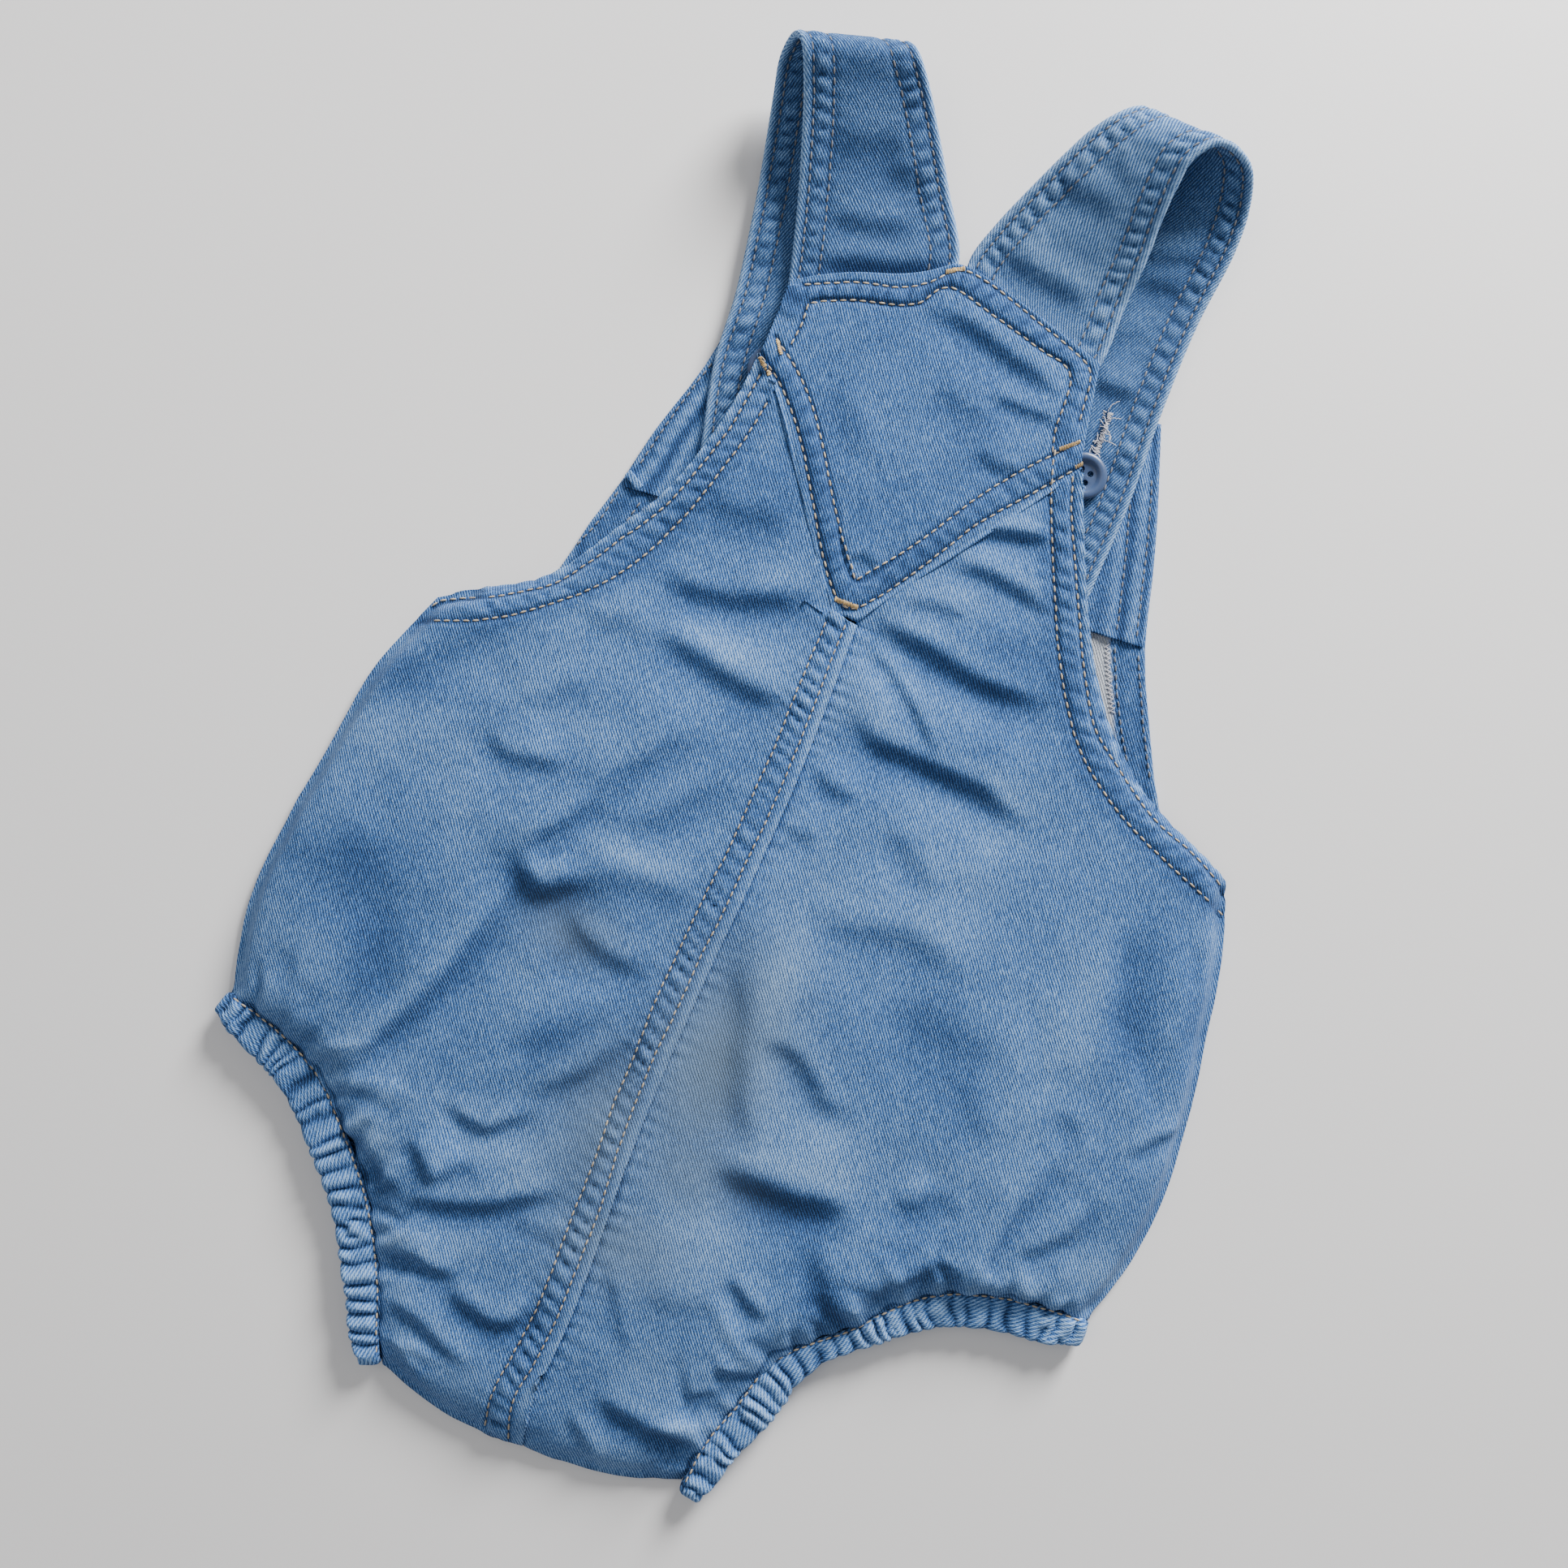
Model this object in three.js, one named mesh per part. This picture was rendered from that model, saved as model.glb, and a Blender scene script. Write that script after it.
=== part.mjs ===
// Baby romper in light denim, laid flat on a table with its back up and its straps looped over to the bib.
// Millimetres. X runs across the garment, Y from the crotch to the strap loops, Z up from the table.
import * as THREE from 'three';

// Cloth and clearances
const clothThickness = 1.2;
const yokeThickness = 1.6;
const strapThickness = 2.4;
const seamGap = 0.3;
const hemWidth = 9;
const hemRise = 0.6;
const felledSeamWidth = 10.1;
const felledSeamRise = 0.7;
const yokeRise = 0.6;
const foldEdgeHeight = 3.2;
const crotchRoll = 14;
const facingBottom = 1.5;
const facingThickness = 1;

// Buttons
const buttonRadius = 7.5;
const buttonThickness = 2.5;
const buttonBottom = 5.7;
const buttonHoleRadius = 0.9;
const buttonHoleOffset = 1.9;
const buttonBevel = 0.35;

// Elastic casings round the leg openings, narrower towards the crotch
const casingThickness = 3.2;
const casingBackHeight = 5.8;
const casingFrontHeight = 1.8;
const gatherDepth = 0.5;
const gatherReach = 0.45;
const sectionsPerGather = 4;

// Along each casing's back half: u runs from the crotch corner to the side corner
const leftCasing = { gathers: 22, outward: -1, start: 0.03, end: 0.98 };
const rightCasing = { gathers: 28, outward: 1, start: 0.005, end: 0.98 };

const denim = { colour: 0x7fa6cf, roughness: 0.92, metalness: 0 };
const denimDark = { colour: 0x5f8dc0, roughness: 0.92, metalness: 0 };
const denimInside = { colour: 0xa9bdd6, roughness: 0.95, metalness: 0 };
const buttonPlastic = { colour: 0x6487a8, roughness: 0.4, metalness: 0 };

function table(columns, rows) {
  const names = columns.split(' ');
  return rows.map((row) => Object.fromEntries(row.map((value, i) => [names[i], value])));
}

// Height of the laid cloth above the table, away from its edges
const crown = table('y z', [
  [-222, 9.0],
  [-200, 10.4],
  [-170, 12.2],
  [-120, 13.4],
  [-60, 13.6],
  [-10, 12.8],
  [30, 11.8],
  [55, 11.0],
  [90, 10.6],
  [125, 10.4],
]);

// Centre back seam, where the left panel laps over the right one
const seamLine = table('y x', [
  [-222, -3.0],
  [-206, -5.0],
  [-175, -3.0],
  [-120, -4.0],
  [-70, -2.2],
  [-26, 1.0],
  [5, 2.6],
  [53.5, 2.7],
]);

// Edges of the V where the yoke is sewn on
const leftV = table('y x', [
  [54.7, -4.7],
  [69.8, -15.6],
  [86, -27.4],
  [102.3, -37.7],
  [114.3, -46.8],
  [121, -54.4],
]);
const rightV = table('y x', [
  [55.5, 3.0],
  [69, 11.9],
  [87, 25.3],
  [106, 38.6],
  [123, 50.4],
]);

// Outer edges of the back panels: z is the height of the cloth's upper side there
const leftEdge = {
  leg: table('x y z', [
    [-52, -214.5, 7],
    [-56, -205, 7],
    [-61, -191, 7],
    [-69, -175, 7],
    [-78, -161.5, 7],
    [-89, -149, 7],
    [-102, -136, 7],
    [-118, -127.5, 6.8],
    [-137.5, -122, 6],
  ]),
  side: table('x y z', [
    [-137.5, -122, 6],
    [-141.5, -107, 3.6],
    [-143.4, -90, 3.2],
    [-141, -63, 3.2],
    [-137, -40, 3.2],
    [-134, -17, 3.2],
    [-126.5, 4.5, 3.2],
  ]),
  underarm: table('x y z', [
    [-126.5, 4.5, 3.2],
    [-121.5, 16.5, 4.2],
    [-107, 24, 5.2],
    [-90, 34.5, 6.6],
    [-77.5, 53.5, 8.2],
  ]),
  armhole: table('x y z', [
    [-76.9, 54.7, 8.3],
    [-67, 69.5, 9.2],
    [-59.7, 90.3, 9.8],
    [-55.6, 109, 10.2],
    [-54.7, 120.7, 10.4],
  ]),
};
const rightEdge = {
  leg: table('x y z', [
    [48.2, -215.2, 7],
    [50, -199.5, 7],
    [55, -185, 7],
    [59.5, -170, 7],
    [67, -161, 7],
    [79, -151, 7],
    [90, -139, 7],
    [101, -130.5, 7],
    [118, -124.5, 7],
    [133, -122.5, 6.8],
    [148.5, -121.5, 6],
  ]),
  side: table('x y z', [
    [148.5, -121.5, 6],
    [155, -102, 3.6],
    [157.7, -78, 3.2],
    [156, -52, 3.2],
    [152, -26, 3.2],
    [149, -6, 3.2],
    [144.4, 10, 3.2],
  ]),
  underarm: table('x y z', [
    [144.4, 10, 3.2],
    [141.8, 18.6, 4.2],
    [128.3, 26.2, 5.2],
    [106, 36, 6.8],
    [86, 54, 8.2],
  ]),
  armhole: table('x y z', [
    [85.2, 55.4, 8.3],
    [75.2, 69.7, 9.2],
    [64.5, 91.2, 9.8],
    [56.5, 110, 10.2],
    [51, 122.7, 10.4],
  ]),
};

// Width of the casings along their back halves, u from the crotch corner to the side corner
const leftCasingWidths = table('u width', [
  [0, 6.5],
  [0.1, 8.8],
  [0.35, 10.4],
  [0.7, 11.8],
  [1, 11],
]);
const rightCasingWidths = table('u width', [
  [0, 9.6],
  [0.25, 9.4],
  [0.5, 10.4],
  [0.75, 11.8],
  [1, 10.6],
]);

// Largest folds: ridges have a positive rise, troughs a negative one
const folds = table('x1 y1 x2 y2 rise spread', [
  [-47, 4, -71, -32, 1.2, 9],
  [-71, -32, -84, -87, 1.6, 8],
  [-84, -87, -96, -126, 1.5, 7],
  [-64, -52, -68, -80, -2.0, 7],
  [-68, -80, -98, -132, -1.8, 7],
  [-62, -46, -34, -45, 1.5, 8],
  [-62, -78, -68, -105, 0.9, 7],
  [-18, -77, -50, -119, 1.3, 8],
  [-17, -110, -56, -128, -1.2, 7],
  [-67, -132, -62, -156, 1.0, 6],
  [-79, -149, -64, -162, -1.5, 6],
  [-55, -158, -20, -143, -1.8, 8],
  [-62, -177, -42, -175, -1.4, 5],
  [-42, -175, -16, -176, -1.3, 6],
  [-57, -191, -38, -198, -1.2, 5],
  [-63, 60, -36, 40, -1.0, 12],
  [16, 43, 38, 26, -0.8, 4],
  [8, 52, 65, 49, -0.9, 7],
  [9, 18, 73, 14, -1.2, 8],
  [18, 36, 62, 33, 0.8, 9],
  [4, -42, 44, -68, 1.2, 8],
  [6, -62, 32, -98, -1.4, 8],
  [44, -118, 82, -101, -1.8, 9],
  [114, -41, 104, -112, 1.1, 8],
  [124, -30, 138, -66, -0.9, 8],
  [76, -112, 74, -136, 1.3, 6],
  [144, -95, 120, -111, -1.0, 6],
  [99, -117, 99, -126, 1.0, 5],
  [20, -150, 40, -165, 0.8, 12],
  [14, -200, 40, -190, -0.9, 9],
]);

// The straps, from their ends under the yoke, over the loops and down to the bib
const leftStrap = table('lx ly lz rx ry rz', [
  [-53.4, 141, 7.8, -6.2, 163.5, 7.8],
  [-55.4, 150, 8.2, -8.2, 173, 8.2],
  [-59.8, 167, 11, -17.6, 188.2, 10],
  [-66.5, 189, 17, -27.7, 203.4, 15],
  [-70.1, 199.1, 21, -34.3, 212.5, 19],
  [-74.6, 208.6, 25, -40.6, 219.3, 22],
  [-78.7, 211.8, 20, -45.2, 222.8, 16],
  [-81.1, 207.5, 12, -45.6, 220.6, 9],
  [-79.4, 197, 7, -40.8, 207.9, 5.6],
  [-73.6, 167.7, 5, -35.7, 177.2, 4.2],
  [-69, 137.3, 4.1, -29.9, 144.2, 4.1],
  [-67.6, 115.3, 4.1, -28.5, 123.6, 4.1],
  [-61.8, 88.3, 4.1, -24.6, 95.2, 4.1],
]);
const rightStrap = table('lx ly lz rx ry rz', [
  [-3.6, 163, 7.8, 43.4, 149, 7.8],
  [-4.4, 173, 8.2, 45.4, 157.5, 8.2],
  [-0.7, 184.5, 10.5, 45.6, 176.3, 10.5],
  [5.3, 197.7, 14, 46.2, 188.1, 15],
  [11.5, 210, 18, 45.7, 200, 20],
  [15.8, 217.6, 20, 46, 208.4, 24],
  [20.8, 223.8, 21, 47.1, 216.2, 28],
  [27.1, 229.2, 18, 53.5, 223.3, 29],
  [32.6, 229, 12, 64.6, 222.4, 23],
  [34.2, 215.1, 7.5, 69.7, 215, 15],
  [33.4, 200.8, 5.6, 71.1, 203, 10],
  [30.7, 173.3, 4.4, 68.9, 179.2, 6.6],
  [29.9, 146, 4.1, 68.4, 151, 4.8],
  [30.6, 113.7, 4.1, 69.3, 121.2, 4.1],
  [29.7, 80.8, 4.1, 67.7, 87, 4.1],
]);

// Armholes of the front and the upper edge of its bib, right side first
const frontRightArmhole = table('x y', [
  [126, 20],
  [113.2, 34.2],
  [100.8, 57.5],
  [91, 79],
  [84.3, 104],
  [78.4, 123.5],
  [70.1, 147.8],
]);
const frontLeftArmhole = table('x y', [
  [-67, 131],
  [-70.8, 111.4],
  [-77.7, 88.9],
  [-81.8, 70],
  [-87, 52.3],
  [-90.5, 37],
  [-108, 19],
]);
const facingLower = { left: { x: -80.6, y: 69 }, right: { x: 90.2, y: 80 } };

const buttonPlaces = { left: { x: -49.8, y: 118.6 }, right: { x: 52.4, y: 122.5 } };

// Smooth value of one column at a place along the table's key column
function lookUp(rows, key, column, at) {
  let i = 0;
  while (i < rows.length - 2 && rows[i + 1][key] < at) {
    i += 1;
  }
  const [a, b] = [rows[i], rows[i + 1]];
  const before = rows[Math.max(i - 1, 0)];
  const after = rows[Math.min(i + 2, rows.length - 1)];
  const span = b[key] - a[key];
  const u = THREE.MathUtils.clamp((at - a[key]) / span, 0, 1);
  const slopeA = (b[column] - before[column]) / (b[key] - before[key]);
  const slopeB = (after[column] - a[column]) / (after[key] - a[key]);
  const h = u * u * (3 - 2 * u);
  const bump = u * (1 - u);
  return a[column] * (1 - h) + b[column] * h + span * bump * (slopeA * (1 - u) - slopeB * u);
}

function curveThrough(points) {
  return new THREE.CatmullRomCurve3(points.map((p) => new THREE.Vector3(p.x, p.y, p.z ?? 0)), false, 'centripetal');
}

function distanceToSegment(x, y, fold) {
  const dx = fold.x2 - fold.x1;
  const dy = fold.y2 - fold.y1;
  const along = ((x - fold.x1) * dx + (y - fold.y1) * dy) / (dx * dx + dy * dy);
  const u = THREE.MathUtils.clamp(along, 0, 1);
  return Math.hypot(x - fold.x1 - u * dx, y - fold.y1 - u * dy);
}

function foldHeight(x, y) {
  const one = (fold) => fold.rise * Math.exp(-((distanceToSegment(x, y, fold) / fold.spread) ** 2));
  return folds.reduce((sum, fold) => sum + one(fold), 0);
}

// How far the cloth has risen: 0 at its edge, 1 where the roll ends. A roundness of 1 is a quarter round.
function rolled(distance, roll, roundness) {
  const t = THREE.MathUtils.clamp(distance / roll, 0, 1);
  const round = Math.sqrt(1 - (1 - t) ** 2);
  const sloping = Math.sin((Math.PI * t) / 2);
  return THREE.MathUtils.lerp(sloping, round, roundness);
}

function gridNormals(grid) {
  const last = { row: grid.length - 1, column: grid[0].length - 1 };
  return grid.map((row, i) => row.map((point, j) => {
    const up = grid[Math.min(i + 1, last.row)][j].clone().sub(grid[Math.max(i - 1, 0)][j]);
    const across = row[Math.min(j + 1, last.column)].clone().sub(row[Math.max(j - 1, 0)]);
    return across.cross(up).normalize();
  }));
}

// Closed solid between two grids of the same size; the first lies on the outside
function solidBetween(top, bottom) {
  const rows = top.length;
  const columns = top[0].length;
  const positions = [...top, ...bottom].flat().flatMap((p) => [p.x, p.y, p.z]);
  const upper = (i, j) => i * columns + j;
  const lower = (i, j) => rows * columns + i * columns + j;
  const faces = [];
  const quad = (a, b, c, d) => faces.push(a, b, c, a, c, d);
  for (let i = 0; i < rows - 1; i += 1) {
    for (let j = 0; j < columns - 1; j += 1) {
      quad(upper(i, j), upper(i, j + 1), upper(i + 1, j + 1), upper(i + 1, j));
      quad(lower(i, j), lower(i + 1, j), lower(i + 1, j + 1), lower(i, j + 1));
    }
    quad(upper(i, 0), upper(i + 1, 0), lower(i + 1, 0), lower(i, 0));
    quad(upper(i + 1, columns - 1), upper(i, columns - 1), lower(i, columns - 1), lower(i + 1, columns - 1));
  }
  for (let j = 0; j < columns - 1; j += 1) {
    quad(upper(0, j + 1), upper(0, j), lower(0, j), lower(0, j + 1));
    quad(upper(rows - 1, j), upper(rows - 1, j + 1), lower(rows - 1, j + 1), lower(rows - 1, j));
  }
  const geometry = new THREE.BufferGeometry();
  geometry.setAttribute('position', new THREE.Float32BufferAttribute(positions, 3));
  geometry.setIndex(faces);
  geometry.computeVertexNormals();
  return geometry;
}

// Distances of a panel row's points from its outer edge, closer together at both edges
function rowSteps(width, innerSteps) {
  const outerSteps = [0, 2, hemWidth - 2.2, hemWidth];
  const middle = 9;
  const scale = Math.min(1, width / 60);
  const start = outerSteps.at(-1) * scale;
  const end = width - innerSteps[0] * scale;
  const between = Array.from({ length: middle }, (_, k) => start + ((end - start) * (k + 1)) / (middle + 1));
  return [...outerSteps.map((d) => d * scale), ...between, ...innerSteps.map((d) => width - d * scale)];
}

// One back panel: rows run from the leg, side and armhole edges to the centre seam and the V.
function backPanel({ edge, vLine, vBottom, seamShift, innerSteps, felled, crotchBow, underarmLevel }) {
  const sideLevel = -98;
  const crotchLevel = -222.3;
  const sections = [
    { line: edge.leg, from: crotchLevel, to: sideLevel, rows: 13, roll: [16, 24], roundness: [0, 0] },
    { line: edge.side, from: sideLevel, to: underarmLevel, rows: 10, roll: [24, 16], roundness: [0.2, 0.9] },
    { line: edge.underarm, from: underarmLevel, to: vBottom - 1.2, rows: 6, roll: [16, 12], roundness: [0.2, 0] },
    { line: edge.armhole, from: vBottom, to: vLine.at(-1).y, rows: 8, roll: [12, 10], roundness: [0, 0] },
  ];
  const innerX = (y) => (y < vBottom ? lookUp(seamLine, 'y', 'x', y) + seamShift : lookUp(vLine, 'y', 'x', y));
  const plain = [];
  const raised = [];
  sections.forEach((section, s) => {
    const curve = curveThrough(section.line);
    for (let k = s === 0 || s === 3 ? 0 : 1; k <= section.rows; k += 1) {
      const u = k / section.rows;
      const outer = curve.getPointAt(u);
      const innerY = THREE.MathUtils.lerp(section.from, section.to, u);
      const inner = new THREE.Vector3(innerX(innerY), innerY, 0);
      const start = new THREE.Vector3(outer.x, outer.y, 0);
      const width = start.distanceTo(inner);
      const roll = THREE.MathUtils.lerp(section.roll[0], section.roll[1], u);
      const roundness = section.roundness[0] + section.roundness[1] * Math.sin(Math.PI * u);
      const bow = s === 0 ? crotchBow * Math.max(0, 1 - k / 4) : 0;
      const plainRow = [];
      const raisedRow = [];
      for (const distance of rowSteps(width, innerSteps)) {
        const point = start.clone().lerp(inner, distance / width);
        point.y -= bow * Math.sin((Math.PI * distance) / width);
        const top = lookUp(crown, 'y', 'z', point.y);
        const fade = THREE.MathUtils.smoothstep(distance, 0, 8) * THREE.MathUtils.smoothstep(width, 20, 60);
        const rise = rolled(distance, roll, Math.min(roundness, 1));
        point.z = outer.z + (top - outer.z) * rise + foldHeight(point.x, point.y) * fade;
        const below = plain.length === 0 ? point : plain[0][plainRow.length];
        const fromFold = Math.hypot(point.x - below.x, point.y - below.y);
        point.z = foldEdgeHeight + (point.z - foldEdgeHeight) * rolled(fromFold, crotchRoll, 1);
        plainRow.push(point);
        const hemmed = s >= 2 && distance < hemWidth - 0.1 ? hemRise : 0;
        const seamed = felled && s < 3 && width - distance < felledSeamWidth + 0.05 ? felledSeamRise : 0;
        raisedRow.push(point.clone().setZ(point.z + Math.max(hemmed, seamed)));
      }
      plain.push(plainRow);
      raised.push(raisedRow);
    }
  });
  const normals = gridNormals(plain);
  const lastColumn = plain[0].length - 1;
  const under = plain.map((row, i) => row.map((point, j) => {
    const normal = normals[i][j].z < 0 ? normals[i][j].clone().negate() : normals[i][j];
    const down = j === lastColumn || i === plain.length - 1 ? new THREE.Vector3(0, 0, 1) : normal;
    return point.clone().addScaledVector(down, -clothThickness);
  }));
  return { top: raised, under };
}

function flipped(grid) {
  return grid.map((row) => [...row].reverse());
}

const leftPanel = backPanel({
  edge: leftEdge,
  vLine: leftV,
  vBottom: 54.7,
  seamShift: 0,
  innerSteps: [felledSeamWidth + 1.6, felledSeamWidth, 5, 0],
  felled: true,
  crotchBow: 3.6,
  underarmLevel: 4.5,
});
const rightPanel = backPanel({
  edge: rightEdge,
  vLine: rightV,
  vBottom: 55.5,
  seamShift: seamGap,
  innerSteps: [12, 6, 2, 0],
  felled: false,
  crotchBow: 3,
  underarmLevel: 10,
});

// The yoke: ruled between the V and its upper edge
function yokeGrid() {
  const lower = table('x y', [
    ...[...leftV].reverse().map((p) => [p.x + seamGap + 0.1, p.y + seamGap]),
    ...rightV.map((p) => [p.x - seamGap - 0.1, p.y + seamGap]),
  ]);
  const upper = table('x y', [
    [-53.7, 145.4],
    [-45.5, 150.5],
    [-36, 155],
    [-23, 158.8],
    [-14.6, 163.4],
    [-8.5, 168.3],
    [-4, 169.2],
    [6, 167],
    [18, 163.6],
    [32, 159.4],
    [44.5, 155.4],
  ]);
  const rows = 9;
  return Array.from({ length: rows }, (_, i) => lower.map((low, j) => {
    const u = i / (rows - 1);
    const x = THREE.MathUtils.lerp(low.x, upper[j].x, u);
    const y = THREE.MathUtils.lerp(low.y, upper[j].y, u);
    return new THREE.Vector3(x, y, lookUp(crown, 'y', 'z', Math.min(y, 125)) + yokeRise);
  }));
}

function loweredBy(grid, depth) {
  return grid.map((row) => row.map((point) => point.clone().setZ(point.z - depth)));
}

function strapGeometry(sections) {
  const left = curveThrough(sections.map((s) => ({ x: s.lx, y: s.ly, z: s.lz })));
  const right = curveThrough(sections.map((s) => ({ x: s.rx, y: s.ry, z: s.rz })));
  const rows = (sections.length - 1) * 3;
  const columns = 4;
  const middle = Array.from({ length: rows + 1 }, (_, i) => {
    const [a, b] = [left.getPoint(i / rows), right.getPoint(i / rows)];
    return Array.from({ length: columns + 1 }, (_, j) => a.clone().lerp(b, j / columns));
  });
  const normals = gridNormals(middle);
  const moved = (side) => middle.map((row, i) => row.map((point, j) => (
    point.clone().addScaledVector(normals[i][j], (side * strapThickness) / 2))));
  return solidBetween(moved(1), moved(-1));
}

// A flattened ring of gathered cloth: back half above, front half plain on the table
function casingGeometry(legEdge, widths, { gathers, outward, start, end }) {
  const curve = curveThrough(legEdge.map((p) => ({ x: p.x, y: p.y })));
  const along = (u) => {
    const tangent = curve.getTangentAt(u);
    const across = new THREE.Vector3(tangent.y, -tangent.x, 0).multiplyScalar(outward);
    const half = lookUp(widths, 'u', 'width', u) / 2;
    const centre = curve.getPointAt(u).addScaledVector(across, half + seamGap + 0.1);
    return { centre, tangent, across, half };
  };
  const turnRadius = (casingBackHeight - casingFrontHeight) / 2;
  const middleHeight = (casingBackHeight + casingFrontHeight) / 2;
  const backSections = gathers * sectionsPerGather;
  const frontSections = 18;
  const turnSections = 5;
  const stations = [];
  for (let k = 0; k <= backSections; k += 1) {
    const { centre, across, half } = along(THREE.MathUtils.lerp(start, end, k / backSections));
    const wave = Math.cos((2 * Math.PI * k) / sectionsPerGather);
    stations.push({ centre: centre.setZ(casingBackHeight), across, thin: new THREE.Vector3(0, 0, 1), half, wave });
  }
  const addTurn = (u, side) => {
    const { centre, tangent, across, half } = along(u);
    for (let k = 1; k < turnSections; k += 1) {
      const angle = (Math.PI * k) / turnSections;
      const lean = side > 0 ? Math.PI / 2 - angle : angle - Math.PI / 2;
      const thin = tangent.clone().multiplyScalar(side * Math.cos(lean)).setZ(Math.sin(lean));
      const place = centre.clone().setZ(middleHeight).addScaledVector(thin, turnRadius);
      stations.push({ centre: place, across, thin, half, wave: 0 });
    }
  };
  addTurn(end, 1);
  for (let k = 0; k <= frontSections; k += 1) {
    const { centre, across, half } = along(THREE.MathUtils.lerp(end, start, k / frontSections));
    const thin = new THREE.Vector3(0, 0, -1);
    stations.push({ centre: centre.setZ(casingFrontHeight), across, thin, half, wave: 0 });
  }
  addTurn(start, -1);
  const sides = 8;
  const ring = stations.map(({ centre, across, thin, half, wave }) => Array.from({ length: sides }, (_, k) => {
    const angle = (2 * Math.PI * k) / sides;
    const outerSide = Math.cos(angle) > 0.1;
    const upperSide = Math.sin(angle) > 0.1;
    const reach = half + (outerSide ? gatherReach * wave : 0);
    const height = casingThickness / 2 + (upperSide ? gatherDepth * wave - gatherDepth * 0.4 : 0);
    return centre.clone().addScaledVector(across, reach * Math.cos(angle))
      .addScaledVector(thin, height * Math.sin(angle));
  }));
  return ringSolid(ring);
}

function ringSolid(ring) {
  const sides = ring[0].length;
  const positions = ring.flat().flatMap((p) => [p.x, p.y, p.z]);
  const faces = [];
  ring.forEach((_, i) => {
    const next = (i + 1) % ring.length;
    for (let k = 0; k < sides; k += 1) {
      const [a, b] = [i * sides + k, i * sides + ((k + 1) % sides)];
      const [c, d] = [next * sides + ((k + 1) % sides), next * sides + k];
      faces.push(a, b, c, a, c, d);
    }
  });
  const geometry = new THREE.BufferGeometry();
  geometry.setAttribute('position', new THREE.Float32BufferAttribute(positions, 3));
  geometry.setIndex(faces);
  geometry.computeVertexNormals();
  return signedVolume(geometry) < 0 ? turnedInsideOut(geometry) : geometry;
}

function signedVolume(geometry) {
  const index = geometry.index.array;
  const position = geometry.attributes.position;
  const corner = (k) => new THREE.Vector3().fromBufferAttribute(position, index[k]);
  let volume = 0;
  for (let k = 0; k < index.length; k += 3) {
    volume += corner(k).dot(corner(k + 1).cross(corner(k + 2))) / 6;
  }
  return volume;
}

function turnedInsideOut(geometry) {
  const index = Array.from(geometry.index.array);
  for (let k = 0; k < index.length; k += 3) {
    [index[k + 1], index[k + 2]] = [index[k + 2], index[k + 1]];
  }
  geometry.setIndex(index);
  geometry.computeVertexNormals();
  return geometry;
}

function outlinePoints(rows, count) {
  return curveThrough(rows).getSpacedPoints(count).map((p) => new THREE.Vector2(p.x, p.y));
}

// The front lies flat on the table with the outline of the back and its own armholes and bib.
function frontOutline() {
  const crotch = [...leftPanel.top[0], ...[...rightPanel.top[0]].reverse()].map((p) => new THREE.Vector2(p.x, p.y));
  const legSide = (edge) => [
    ...outlinePoints(edge.leg, 20).slice(1),
    ...outlinePoints(edge.side, 10).slice(1),
  ];
  return [
    ...crotch,
    ...legSide(rightEdge),
    ...outlinePoints(frontRightArmhole, 14),
    ...outlinePoints(frontLeftArmhole, 14),
    ...legSide(leftEdge).reverse(),
  ];
}

// The facing covers the inside of the bib down to its lower edge.
function facingOutline() {
  const inset = 0.7;
  const inside = (rows, low, side) => outlinePoints(rows, 14)
    .filter((p) => p.y > low + 2)
    .map((p) => new THREE.Vector2(p.x + side * inset, p.y - (p.y > 129 ? inset : 0)));
  return [
    new THREE.Vector2(facingLower.right.x - inset, facingLower.right.y),
    ...inside(frontRightArmhole, facingLower.right.y, -1),
    ...inside(frontLeftArmhole, facingLower.left.y, 1),
    new THREE.Vector2(facingLower.left.x + inset, facingLower.left.y),
  ];
}

function plate(outline, bottom, thickness) {
  const options = { depth: thickness, bevelEnabled: false, steps: 1 };
  return new THREE.ExtrudeGeometry(new THREE.Shape(outline), options).translate(0, 0, bottom);
}

function buttonGeometry() {
  const disc = new THREE.Shape();
  disc.absarc(0, 0, buttonRadius - buttonBevel, 0, 2 * Math.PI);
  for (let k = 0; k < 4; k += 1) {
    const angle = (Math.PI / 2) * k + Math.PI / 4;
    const hole = new THREE.Path();
    const reach = buttonHoleOffset * Math.SQRT2 * 0.75;
    hole.absarc(reach * Math.cos(angle), reach * Math.sin(angle), buttonHoleRadius + buttonBevel, 0, 2 * Math.PI, true);
    disc.holes.push(hole);
  }
  return new THREE.ExtrudeGeometry(disc, {
    depth: buttonThickness - 2 * buttonBevel,
    bevelThickness: buttonBevel,
    bevelSize: buttonBevel,
    bevelSegments: 1,
    curveSegments: 12,
  }).translate(0, 0, buttonBottom + buttonBevel);
}

function piece(name, geometry, { colour, roughness, metalness }) {
  const material = new THREE.MeshStandardMaterial({ color: colour, roughness, metalness });
  const mesh = new THREE.Mesh(geometry, material);
  mesh.name = name;
  return mesh;
}

const romper = new THREE.Group();

romper.add(piece('back_left', solidBetween(leftPanel.top, leftPanel.under), denim));
romper.add(piece('back_right', solidBetween(flipped(rightPanel.top), flipped(rightPanel.under)), denim));

const yoke = yokeGrid();
romper.add(piece('back_yoke', solidBetween(yoke, loweredBy(yoke, yokeThickness)), denim));

romper.add(piece('strap_left', strapGeometry(leftStrap), denimDark));
romper.add(piece('strap_right', strapGeometry(rightStrap), denimDark));

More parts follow.
